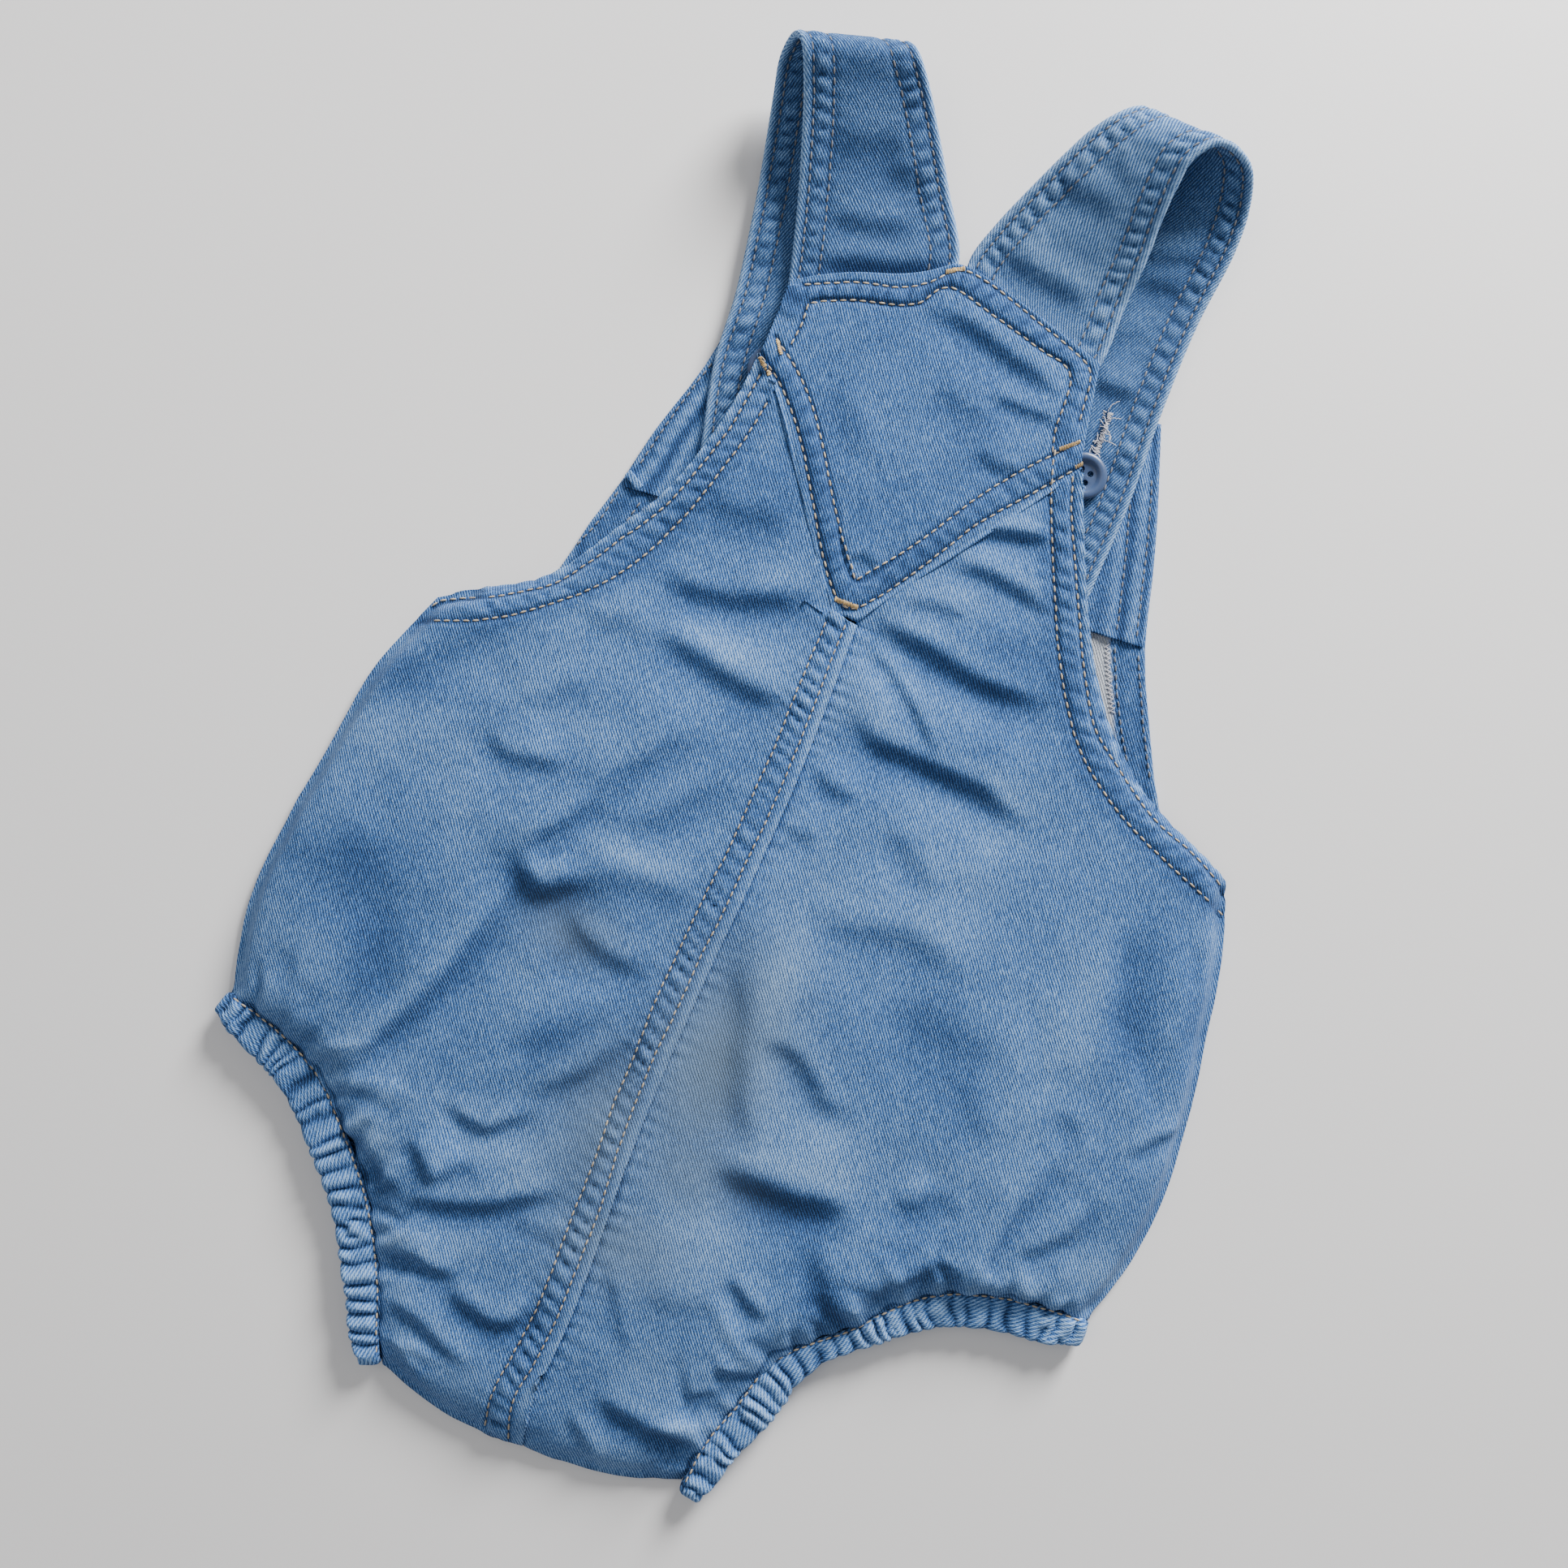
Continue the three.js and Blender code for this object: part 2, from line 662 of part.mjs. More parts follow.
romper.add(piece('leg_casing_left', casingGeometry(leftEdge.leg, leftCasingWidths, leftCasing), denimDark));
romper.add(piece('leg_casing_right', casingGeometry(rightEdge.leg, rightCasingWidths, rightCasing), denimDark));

romper.add(piece('front_panel', plate(frontOutline(), 0, clothThickness), denimInside));
romper.add(piece('bib_facing', plate(facingOutline(), facingBottom, facingThickness), denim));

for (const [side, place] of Object.entries(buttonPlaces)) {
  const button = piece(`button_${side}`, buttonGeometry(), buttonPlastic);
  button.position.set(place.x, place.y, 0);
  romper.add(button);
}

export default romper;
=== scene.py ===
import math
import random

import bmesh
import bpy
import numpy as np
from mathutils import Matrix, Vector, noise
from mathutils.bvhtree import BVHTree
from mathutils.kdtree import KDTree


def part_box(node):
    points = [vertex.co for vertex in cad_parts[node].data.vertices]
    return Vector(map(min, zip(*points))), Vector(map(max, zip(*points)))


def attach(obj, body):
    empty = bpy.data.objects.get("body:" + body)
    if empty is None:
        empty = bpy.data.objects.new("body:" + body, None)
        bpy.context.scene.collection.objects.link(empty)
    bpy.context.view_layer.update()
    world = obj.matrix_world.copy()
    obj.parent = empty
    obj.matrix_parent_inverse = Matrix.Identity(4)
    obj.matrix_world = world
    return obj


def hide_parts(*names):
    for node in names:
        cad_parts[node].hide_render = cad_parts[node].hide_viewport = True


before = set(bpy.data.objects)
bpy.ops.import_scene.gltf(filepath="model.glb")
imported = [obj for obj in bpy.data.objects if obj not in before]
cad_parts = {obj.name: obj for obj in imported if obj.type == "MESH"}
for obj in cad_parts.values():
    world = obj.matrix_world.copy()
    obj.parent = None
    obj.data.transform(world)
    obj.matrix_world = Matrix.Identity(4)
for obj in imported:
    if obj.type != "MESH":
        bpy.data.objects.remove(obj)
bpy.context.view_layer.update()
mm = 0.001
print("frame loaded,", len(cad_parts), "nodes")

# The camera looks straight down on the table, turned so that the romper leans to the right.
photo = {"size": 1932, "height": 0.484, "turn": math.radians(21), "lens": 35.33, "sensor": 36.0}
photo["reach"] = photo["lens"] / photo["sensor"] * photo["size"]


def rayThrough(x, y):
    # direction of the camera's ray through a place of the 1932 x 1932 frame
    across, down = x - photo["size"] / 2, y - photo["size"] / 2
    c, s = math.cos(photo["turn"]), math.sin(photo["turn"])
    return Vector((across * c + down * s, across * s - down * c, -photo["reach"])).normalized()


def smoothPath(points, step):
    # rounded path through the points, with a point about every step
    p = np.array(points, float)
    p = np.vstack([2 * p[0] - p[1], p, 2 * p[-1] - p[-2]])
    path = []
    for i in range(1, len(p) - 2):
        a, b, c, d = p[i - 1:i + 3]
        t1 = np.linalg.norm(b - a) ** 0.5
        t2 = t1 + np.linalg.norm(c - b) ** 0.5
        t3 = t2 + np.linalg.norm(d - c) ** 0.5
        count = step if isinstance(step, int) else max(1, math.ceil(np.linalg.norm(c - b) / step))
        for k in range(count):
            t = t1 + (t2 - t1) * k / count
            a1 = a + (b - a) * t / t1
            a2 = b + (c - b) * (t - t1) / (t2 - t1)
            a3 = c + (d - c) * (t - t2) / (t3 - t2)
            b1 = a1 + (a2 - a1) * t / t2
            b2 = a2 + (a3 - a2) * (t - t1) / (t3 - t1)
            path.append(b1 + (b2 - b1) * (t - t1) / (t2 - t1))
    path.append(p[-2])
    return np.array(path)


def evenly(path, step):
    # the same path with its points evenly spaced
    lengths = np.concatenate([[0], np.cumsum(np.linalg.norm(np.diff(path, axis=0), axis=1))])
    count = max(2, round(lengths[-1] / step) + 1)
    at = np.linspace(0, lengths[-1], count)
    return np.stack([np.interp(at, lengths, path[:, k]) for k in range(path.shape[1])], axis=1)


def besidePath(places, path):
    # for every place: how far it is from the path, how far along, and on which side (1 is left)
    best = np.full(len(places), 1e9)
    along = np.zeros(len(places))
    side = np.ones(len(places))
    start = 0.0
    for a, b in zip(path[:-1], path[1:]):
        d = b - a
        length = np.linalg.norm(d)
        rel = places - a
        t = np.clip(rel @ d / length ** 2, 0, 1)
        off = np.linalg.norm(rel - t[:, None] * d, axis=1)
        closer = off < best
        best[closer] = off[closer]
        along[closer] = (start + t * length)[closer]
        side[closer] = np.sign(d[0] * rel[:, 1] - d[1] * rel[:, 0])[closer]
        start += length
    return best, along, side


def smoothStep(low, high, value):
    t = np.clip((value - low) / (high - low), 0, 1)
    return t * t * (3 - 2 * t)


def bell(value, spread):
    return np.exp(-(value / spread) ** 2)


def movedAside(places, path, distance, reach):
    # places near the path are moved to its left, most where they are on it
    off, along, _ = besidePath(places[:, :2], path)
    lengths = np.concatenate([[0], np.cumsum(np.linalg.norm(np.diff(path, axis=0), axis=1))])
    at = lambda where: np.stack([np.interp(where, lengths, path[:, k]) for k in (0, 1)], axis=1)
    ahead = at(along + 1.5) - at(along - 1.5)
    ahead /= np.linalg.norm(ahead, axis=1)[:, None] + 1e-9
    left = np.stack([-ahead[:, 1], ahead[:, 0]], axis=1)
    moved = places.copy()
    moved[:, :2] += left * (distance * np.clip(1 - off / reach, 0, 1))[:, None]
    return moved


class Ripple:
    # uneven waves along a seam: every crest has its own width and height
    def __init__(self, length, pitch, seed, unevenness=0.3):
        dice = random.Random(seed)
        self.marks, self.heights = [-pitch], []
        while self.marks[-1] < length + pitch:
            self.marks.append(self.marks[-1] + pitch * (1 + unevenness * dice.uniform(-1, 1)))
        self.heights = [1 + 0.5 * dice.uniform(-1, 1) for _ in self.marks]

    def at(self, along):
        # 1 on a crest and -1 in a dip
        steps = np.interp(along, self.marks, np.arange(len(self.marks)))
        rounded = 2 * np.abs(np.sin(np.pi * steps)) ** 0.75 - 1
        return rounded * np.interp(along, self.marks, self.heights)

    def puff(self, along):
        # rounded crests with sharp dips between them, from 0 to 1
        steps = np.interp(along, self.marks, np.arange(len(self.marks)))
        return np.abs(np.sin(np.pi * steps)) ** 0.65 * np.interp(along, self.marks, self.heights)


def unevenAt(places, size, seed, detail=2):
    # soft random heights from about -1 to 1
    shift = Vector((seed * 3.7, seed * 1.9, seed * 5.3))
    return np.array([noise.fractal(Vector(p) / size + shift, 0.9, 2.0, detail) for p in places])


# Materials
def sRgb(red, green, blue):
    def linear(value):
        value /= 255
        return value / 12.92 if value <= 0.04045 else ((value + 0.055) / 1.055) ** 2.4
    return (linear(red), linear(green), linear(blue), 1.0)


class Wire:
    # a node's output that can be used in expressions
    def __init__(self, finish, socket):
        self.finish, self.socket = finish, socket

    def maths(self, operation, *others, clamp=False):
        values = dict(enumerate((self, *others)))
        return self.finish.node("ShaderNodeMath", {"operation": operation, "use_clamp": clamp}, values)

    def __add__(self, other):
        return self.maths("ADD", other)

    def __sub__(self, other):
        return self.maths("SUBTRACT", other)

    def __rsub__(self, other):
        return self.finish.node("ShaderNodeMath", {"operation": "SUBTRACT"}, {0: other, 1: self})

    def __mul__(self, other):
        return self.maths("MULTIPLY", other)

    def __truediv__(self, other):
        return self.maths("DIVIDE", other)

    __radd__, __rmul__ = __add__, __mul__

    def clamped(self):
        return self.maths("ADD", 0.0, clamp=True)


class Finish:
    def __init__(self, name):
        self.material = bpy.data.materials.new(name)
        self.material.use_nodes = True
        self.tree = self.material.node_tree
        self.shader = self.tree.nodes["Principled BSDF"]

    def feed(self, socket, value):
        if isinstance(value, Wire):
            self.tree.links.new(value.socket, socket)
        else:
            socket.default_value = value

    def node(self, kind, settings=None, sockets=None, output=0):
        made = self.tree.nodes.new(kind)
        for key, value in (settings or {}).items():
            if key == "stops":
                while len(made.color_ramp.elements) < len(value):
                    made.color_ramp.elements.new(0.5)
                for element, (position, colour) in zip(made.color_ramp.elements, value):
                    element.position, element.color = position, colour
            else:
                setattr(made, key, value)
        for key, value in (sockets or {}).items():
            self.feed(made.inputs[key], value)
        return Wire(self, made.outputs[output])

    def attribute(self, name):
        return self.node("ShaderNodeAttribute", {"attribute_name": name}, output="Fac")

    def mixed(self, share, first, second, how="MIX"):
        settings = {"data_type": "RGBA", "blend_type": how, "clamp_factor": True}
        return self.node("ShaderNodeMix", settings, {0: share, 6: first, 7: second}, 2)

    def surface(self, **values):
        for key, value in values.items():
            self.feed(self.shader.inputs[key.replace("_", " ")], value)
        return self.material


def denimFinish(name, look):
    finish = Finish(name)
    place = finish.node("ShaderNodeTexCoord", output=look["follows"])
    turned = finish.node("ShaderNodeMapping", None, {
        "Vector": place, "Rotation": (0, 0, look["grain"]), "Scale": (look["coarse"],) * 3})
    wander = finish.node("ShaderNodeTexNoise", None, {"Vector": turned, "Scale": 90.0, "Detail": 2.0})
    parts = {axis: finish.node("ShaderNodeSeparateXYZ", None, {0: turned}, axis) for axis in "XYZ"}
    # twill lines run diagonally over fine warp yarns
    diagonal = parts["X"] * 0.87 + parts["Y"] * 0.5 + wander * 0.0011
    twill = (diagonal * (2 * math.pi / look["twillPitch"])).maths("SINE")
    warp = (parts["X"] * (2 * math.pi / look["yarnPitch"]) + wander * 5.0).maths("SINE")
    long = finish.node("ShaderNodeMapping", None, {"Vector": turned, "Scale": (1.0, 0.22, 1.0)})
    slub = finish.node("ShaderNodeTexNoise", None,
                       {"Vector": long, "Scale": 1900.0, "Detail": 3.0, "Roughness": 0.7})
    speck = finish.node("ShaderNodeTexNoise", None,
                        {"Vector": turned, "Scale": 3000.0, "Detail": 2.0, "Roughness": 0.6})
    cloud = finish.node("ShaderNodeTexNoise", None,
                        {"Vector": turned, "Scale": 24.0, "Detail": 4.0, "Roughness": 0.6})
    # the first mask holds worn pale edges and painted highlight on crests and ridges, the second painted shade in
    # folds, dips, ditches and along stitch lines
    wear = finish.attribute("wear")
    deep = finish.attribute("deep")
    # random cloudy tone, then painted highlight and painted shade from the masks
    tone = (cloud - 0.5) * look["cloud"] + wear * look["wear"] - deep * look["deep"]
    tone = tone.maths("MINIMUM", 0.3).maths("MAXIMUM", -0.42)
    level = (0.5 + (slub - 0.5) * look["slub"] + (speck - 0.5) * look["speck"] + twill * look["twill"]
             + warp * look["twill"] * 0.4 + tone).clamped()
    stops = [(0.0, look["deepest"]), (0.5, look["middle"]), (1.0, look["palest"])]
    colour = finish.node("ShaderNodeValToRGB", {"stops": stops}, {0: level})
    colour = finish.mixed(finish.attribute("patch") * look["patch"], colour, look["patchColour"])
    if "bareColour" in look:
        fuzz = (finish.attribute("bare") * 1.6 + (slub - 0.5) * 0.5 - 0.3).clamped()
        bareCloth = finish.mixed((twill * 0.3 + slub).clamped(), look["bareShade"], look["bareColour"])
        colour = finish.mixed(fuzz, colour, bareCloth)
    height = twill * 0.35 + warp * 0.2 + slub * 1.1 + speck * 0.8
    bump = finish.node("ShaderNodeBump", None,
                       {"Strength": look["bump"], "Distance": 0.00022, "Height": height})
    rough = 0.86 + (speck - 0.5) * 0.12
    return finish.surface(Base_Color=colour, Roughness=rough, Normal=bump, Specular_IOR_Level=0.12,
                          Sheen_Weight=0.04, Sheen_Roughness=0.5)


denimLook = {
    "follows": "Object", "grain": math.radians(-7), "coarse": 1.0, "twillPitch": 0.00082, "yarnPitch": 0.00046,
    "slub": 1.2, "speck": 1.0, "twill": 0.26, "cloud": 0.5, "wear": 0.45, "deep": 0.55,
    "deepest": sRgb(32, 52, 86), "middle": sRgb(62, 106, 166), "palest": sRgb(150, 184, 222),
    "patch": 0.65, "patchColour": sRgb(108, 126, 142), "bump": 0.9,
}
denim = denimFinish("washedDenim", denimLook)
denimStrap = denimFinish("strapDenim", {
    **denimLook, "follows": "UV", "grain": 0.0, "middle": sRgb(61, 100, 152)})
denimCasing = denimFinish("casingDenim", {
    **denimLook, "follows": "UV", "grain": 0.0, "coarse": 0.78, "middle": sRgb(68, 111, 170)})
denimInside = denimFinish("frontDenim", {
    **denimLook, "bareShade": sRgb(138, 150, 168), "bareColour": sRgb(214, 216, 218)})


def threadFinish(name, dark, pale):
    finish = Finish(name)
    place = finish.node("ShaderNodeTexCoord", output="Object")
    fleck = finish.node("ShaderNodeTexNoise", None, {"Vector": place, "Scale": 700.0, "Detail": 2.0})
    broad = finish.node("ShaderNodeTexNoise", None, {"Vector": place, "Scale": 60.0})
    share = (fleck * 0.9 + broad * 0.7 - 0.3).clamped()
    colour = finish.mixed(share, dark, pale)
    bump = finish.node("ShaderNodeBump", None, {"Strength": 0.5, "Distance": 0.0001, "Height": fleck})
    return finish.surface(Base_Color=colour, Roughness=0.7, Normal=bump, Sheen_Weight=0.1)


tanThread = threadFinish("tanThread", sRgb(128, 110, 94), sRgb(218, 202, 172))
goldThread = threadFinish("goldThread", sRgb(168, 134, 84), sRgb(228, 196, 138))
greyThread = threadFinish("greyThread", sRgb(84, 90, 102), sRgb(140, 138, 138))
frayedThread = threadFinish("frayedThread", sRgb(150, 150, 162), sRgb(226, 224, 226))


def plasticFinish(name):
    finish = Finish(name)
    place = finish.node("ShaderNodeTexCoord", output="Object")
    cloud = finish.node("ShaderNodeTexNoise", None, {"Vector": place, "Scale": 180.0, "Detail": 3.0})
    scuffs = finish.node("ShaderNodeTexNoise", None, {"Vector": place, "Scale": 1400.0, "Detail": 3.0})
    colour = finish.mixed(cloud, sRgb(56, 74, 108), sRgb(68, 87, 122))
    bump = finish.node("ShaderNodeBump", None, {"Strength": 0.12, "Distance": 0.0001, "Height": scuffs})
    return finish.surface(Base_Color=colour, Roughness=0.32 + (scuffs - 0.5) * 0.2, Normal=bump)


buttonPlastic = plasticFinish("buttonPlastic")
print("materials made")


# Making meshes
def objectFrom(name, mesh, *materials):
    piece = bpy.data.objects.new(name, mesh)
    bpy.context.scene.collection.objects.link(piece)
    for material in materials:
        mesh.materials.append(material)
    mesh.polygons.foreach_set("use_smooth", [True] * len(mesh.polygons))
    return piece


def meshFrom(shape, name):
    mesh = bpy.data.meshes.new(name)
    shape.to_mesh(mesh)
    shape.free()
    return mesh


def placesOf(mesh):
    places = np.zeros(len(mesh.vertices) * 3)
    mesh.vertices.foreach_get("co", places)
    return places.reshape(-1, 3) / mm


def normalsOf(mesh):
    normals = np.zeros(len(mesh.vertices) * 3, np.float32)
    mesh.vertex_normals.foreach_get("vector", normals)
    return normals.reshape(-1, 3).astype(float)


def movedTo(mesh, places):
    mesh.vertices.foreach_set("co", (places * mm).ravel())
    mesh.update()


def painted(mesh, **masks):
    # masks per point: worn edges with painted highlight, painted shade, grey patches and the bare wrong side
    for name in ("wear", "deep", "patch", "bare"):
        values = masks.get(name)
        layer = mesh.attributes.new(name, "FLOAT", "POINT")
        if values is not None:
            layer.data.foreach_set("value", np.clip(values, 0, 1).astype(np.float32))


def solidOf(node, cutToTop):
    # copy of a node's solid with its doubled points merged and its triangles paired
    shape = bmesh.new()
    shape.from_mesh(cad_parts[node].data)
    bmesh.ops.remove_doubles(shape, verts=shape.verts, dist=1e-6)
    bmesh.ops.join_triangles(shape, faces=shape.faces, angle_face_threshold=1.2,
                             angle_shape_threshold=1.7)
    shape.normal_update()
    if cutToTop:
        # the outer skin: faces that join the highest one without a sharp edge between them
        highest = max(shape.faces, key=lambda face: face.calc_center_median().z)
        skin, front = {highest}, [highest]
        while front:
            face = front.pop()
            for edge in face.edges:
                if len(edge.link_faces) == 2 and edge.calc_face_angle() < math.radians(42):
                    for other in edge.link_faces:
                        if other not in skin and other.normal.z > 0:
                            skin.add(other)
                            front.append(other)
        rest = [face for face in shape.faces if face not in skin]
        bmesh.ops.delete(shape, geom=rest, context="FACES")
        # sharp corners of the cut stay sharp when it is rounded
        corner = shape.verts.layers.float.new("crease_vert")
        for vertex in shape.verts:
            ends = [edge.other_vert(vertex).co - vertex.co for edge in vertex.link_edges if edge.is_boundary]
            if len(ends) == 2 and ends[0].angle(-ends[1]) > math.radians(24):
                vertex[corner] = 1.0
    return shape


def rounded(name, shape, levels):
    # the shape with its faces divided and rounded, as a mesh
    rough = objectFrom(name + "Rough", meshFrom(shape, name + "Rough"))
    divide = rough.modifiers.new("divide", "SUBSURF")
    divide.levels = divide.render_levels = levels
    divide.boundary_smooth = "PRESERVE_CORNERS"
    bpy.context.view_layer.update()
    graph = bpy.context.evaluated_depsgraph_get()
    mesh = bpy.data.meshes.new_from_object(rough.evaluated_get(graph), depsgraph=graph)
    mesh.name = name
    bpy.data.objects.remove(rough)
    return mesh


def thickened(piece, thickness):
    wall = piece.modifiers.new("wall", "SOLIDIFY")
    wall.thickness = thickness * mm
    wall.offset = -1
    wall.use_even_offset = False
    return piece


def dressed(piece, slot, *nodes):
    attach(piece, "root")
    if nodes:
        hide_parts(*nodes)
    return piece


def treeOf(*pieces):
    # one search tree over the finished surfaces of some pieces
    graph = bpy.context.evaluated_depsgraph_get()
    shape = bmesh.new()
    for piece in pieces:
        mesh = bpy.data.meshes.new_from_object(piece.evaluated_get(graph), depsgraph=graph)
        shape.from_mesh(mesh)
        bpy.data.meshes.remove(mesh)
    tree = BVHTree.FromBMesh(shape)
    shape.free()
    return tree


eye = Vector((0, 0, photo["height"]))


def castThrough(tree, x, y):
    place, normal, _, _ = tree.ray_cast(eye, rayThrough(x, y))
    return place, normal


def besideThrough(tree, x, y, height):
    # as castThrough, but a ray that just misses takes the nearest place of the surface
    place, normal = castThrough(tree, x, y)
    if place is None:
        ray = rayThrough(x, y)
        place, normal, _, _ = tree.find_nearest(eye + ray * ((height * mm - eye.z) / ray.z))
    return place, normal


def traced(tree, points, step=5.0):
    # a path of the photograph laid on the surface, in millimetres
    path = []
    for x, y in smoothPath(points, step):
        place, _ = castThrough(tree, x, y)
        if place is not None:
            path.append(np.array(place) / mm)
    return np.array(path)


cadTree = treeOf(*[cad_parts[name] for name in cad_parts])

# Sewing lines and edges of the back, as places in the photograph
lines = {
    "seamFold": [(1056, 762), (1003, 900), (969, 989), (932, 1066), (900, 1136), (880, 1173), (855, 1230),
                 (823, 1297), (804, 1344), (779, 1408), (753, 1491), (711, 1600), (693, 1646), (665, 1697),
                 (649, 1722), (641, 1758), (642, 1782)],
    "seamRight": [(1042, 768), (989, 904), (953, 991), (919, 1063), (887, 1132), (867, 1171), (842, 1227),
                  (810, 1293), (791, 1339), (766, 1403), (740, 1486), (698, 1594), (679, 1640), (652, 1691),
                  (635, 1718), (627, 1750), (627, 1774)],
    "seamLeft": [(1018, 765), (970, 880), (958, 912), (919, 998), (894, 1054), (877, 1086), (842, 1159),
                 (804, 1242), (779, 1306), (756, 1360), (731, 1434), (708, 1491), (662, 1610), (629, 1674),
                 (605, 1720), (597, 1758)],
    "leftArmEdge": [(936, 436), (930, 454), (911, 486), (893, 519), (873, 545), (854, 568), (835, 591),
                    (816, 612), (796, 628), (777, 642), (758, 654), (739, 670), (720, 683), (680, 709),
                    (641, 718), (603, 725), (565, 727), (538, 730), (525, 741)],
    "leftArmOuter": [(938, 460), (920, 492), (901, 525), (881, 552), (862, 576), (843, 599), (823, 621),
                     (803, 637), (784, 652), (764, 664), (745, 680), (726, 693), (684, 719), (643, 729),
                     (604, 736), (566, 738), (541, 741), (531, 748)],
    "leftArmInner": [(946, 494), (921, 536), (888, 580), (854, 624), (816, 664), (802, 678), (741, 720),
                     (680, 743), (641, 755), (592, 764), (542, 765), (509, 766)],
    "rightArmEdge": [(1337, 545), (1336, 574), (1332, 607), (1334, 655), (1336, 719), (1339, 767),
                     (1345, 814), (1355, 862), (1367, 900), (1383, 955), (1413, 981), (1439, 1011),
                     (1477, 1052), (1503, 1079), (1513, 1097)],
    "rightArmOuter": [(1322, 585), (1320, 623), (1324, 687), (1329, 751), (1336, 830), (1350, 900),
                      (1371, 936), (1420, 1007), (1469, 1052), (1501, 1088), (1509, 1103)],
    "rightArmInner": [(1300, 552), (1295, 606), (1296, 655), (1299, 719), (1304, 798), (1313, 862),
                      (1334, 932), (1383, 1007), (1439, 1064), (1488, 1109), (1507, 1129)],
    "vEdge": [(934, 438), (955, 472), (972, 530), (987, 606), (1008, 683), (1027, 755), (1039, 763),
              (1054, 761), (1108, 725), (1184, 677), (1261, 625), (1330, 579)],
    "vOuter": [(938, 438), (959, 468), (974, 503), (987, 545), (1001, 614), (1012, 675), (1027, 729),
               (1040, 749), (1058, 748), (1131, 702), (1204, 646), (1261, 614), (1333, 573)],
    "vInner": [(955, 415), (972, 440), (993, 480), (1008, 526), (1020, 583), (1031, 637), (1054, 715),
               (1127, 671), (1204, 614), (1261, 579), (1329, 546)],
    "topOuter": [(989, 351), (1054, 348), (1108, 354), (1146, 348), (1169, 336), (1188, 333), (1223, 352),
                 (1280, 398), (1335, 444), (1344, 458), (1330, 520)],
    "topInner": [(974, 426), (987, 400), (997, 373), (1054, 370), (1108, 376), (1135, 373), (1158, 355),
                 (1173, 354), (1223, 388), (1280, 430), (1318, 457), (1314, 491), (1301, 526), (1297, 560)],
    "leftLegSeam": [(286, 1227), (307, 1239), (342, 1268), (365, 1291), (393, 1322), (413, 1360),
                    (428, 1406), (447, 1452), (450, 1472), (462, 1534), (465, 1574), (469, 1606),
                    (465, 1649), (467, 1680)],
    "rightLegSeam": [(1340, 1629), (1332, 1630), (1286, 1611), (1251, 1599), (1205, 1596), (1156, 1595),
                     (1132, 1604), (1104, 1609), (1075, 1625), (1047, 1641), (1026, 1649), (981, 1662),
                     (958, 1665), (937, 1686), (925, 1711), (902, 1739), (886, 1758), (869, 1779),
                     (851, 1802), (845, 1815)],
}
onCloth = {name: traced(cadTree, points) for name, points in lines.items()}
print("seam lines traced")


# Back panels: thin shells on their solids' form, with finer creases, hems and gathers
# Each fold is a path in the photograph with a ridge on its left and a trough on its right,
# then its rise and its spread in mm
leftFolds = [
    ([(800, 696), (850, 728), (900, 741), (960, 741), (1015, 738)], 1.2, 4.2),
    ([(790, 772), (850, 806), (890, 834), (930, 856), (985, 878)], 1.3, 4.2),
    ([(598, 885), (616, 926), (650, 938), (710, 946)], 0.8, 3.0),
    ([(728, 995), (770, 952), (810, 930), (862, 890)], 0.6, 3.4),
    ([(640, 1056), (665, 1032), (700, 1012), (745, 975)], 0.9, 2.8),
    ([(645, 1040), (642, 1072), (664, 1098), (700, 1092), (730, 1072)], 1.7, 4.2),
    ([(705, 1088), (760, 1084), (800, 1094), (862, 1116)], 0.6, 4.6),
    ([(392, 1324), (440, 1306), (480, 1270), (520, 1235), (560, 1194), (592, 1150), (622, 1108), (650, 1074)],
     1.3, 3.4),
    ([(462, 1260), (456, 1200), (446, 1150), (420, 1095)], 0.7, 7.0),
    ([(425, 880), (480, 838), (530, 806), (590, 780), (655, 758)], 0.8, 5.5),
    ([(692, 1122), (722, 1160), (755, 1185), (806, 1203)], 0.9, 3.6),
    ([(668, 1215), (682, 1165), (678, 1118)], 0.6, 3.6),
    ([(645, 1362), (690, 1336), (722, 1322), (752, 1298), (785, 1268)], 0.8, 3.2),
    ([(625, 1292), (690, 1274), (745, 1232)], 0.6, 5.0),
    ([(540, 1352), (572, 1380), (600, 1393), (632, 1382), (668, 1362)], 1.0, 2.8),
    ([(404, 1368), (430, 1398), (455, 1420), (470, 1450), (500, 1482)], 1.4, 3.8),
    ([(502, 1398), (520, 1436), (534, 1472)], 1.0, 2.8),
    ([(524, 1458), (548, 1446), (582, 1428)], 0.7, 2.6),
    ([(480, 1478), (540, 1486), (600, 1488), (645, 1480), (708, 1466)], 1.4, 3.6),
    ([(622, 1506), (660, 1518), (700, 1532)], 0.5, 3.2),
    ([(456, 1541), (505, 1550), (532, 1567), (574, 1574)], 1.2, 3.0),
    ([(536, 1586), (572, 1610), (605, 1632), (636, 1630), (656, 1604), (668, 1590)], 1.3, 3.2),
    ([(448, 1596), (486, 1608), (515, 1632), (545, 1662), (590, 1696)], 1.1, 2.8),
    ([(462, 1630), (488, 1662), (510, 1700)], 0.6, 2.2),
    ([(360, 1082), (420, 1058), (482, 1040)], 0.5, 9.0),
    ([(602, 1020), (600, 940)], 0.4, 6.0),
    ([(708, 768), (760, 770), (812, 788)], 0.5, 4.6),
    ([(640, 878), (680, 858), (726, 838)], 0.5, 4.0),
    ([(748, 1024), (810, 1012), (850, 986), (898, 956)], 0.6, 4.0),
    ([(856, 606), (910, 632), (975, 642)], 0.6, 4.6),
    ([(362, 1165), (358, 1220)], 0.4, 3.0),
]
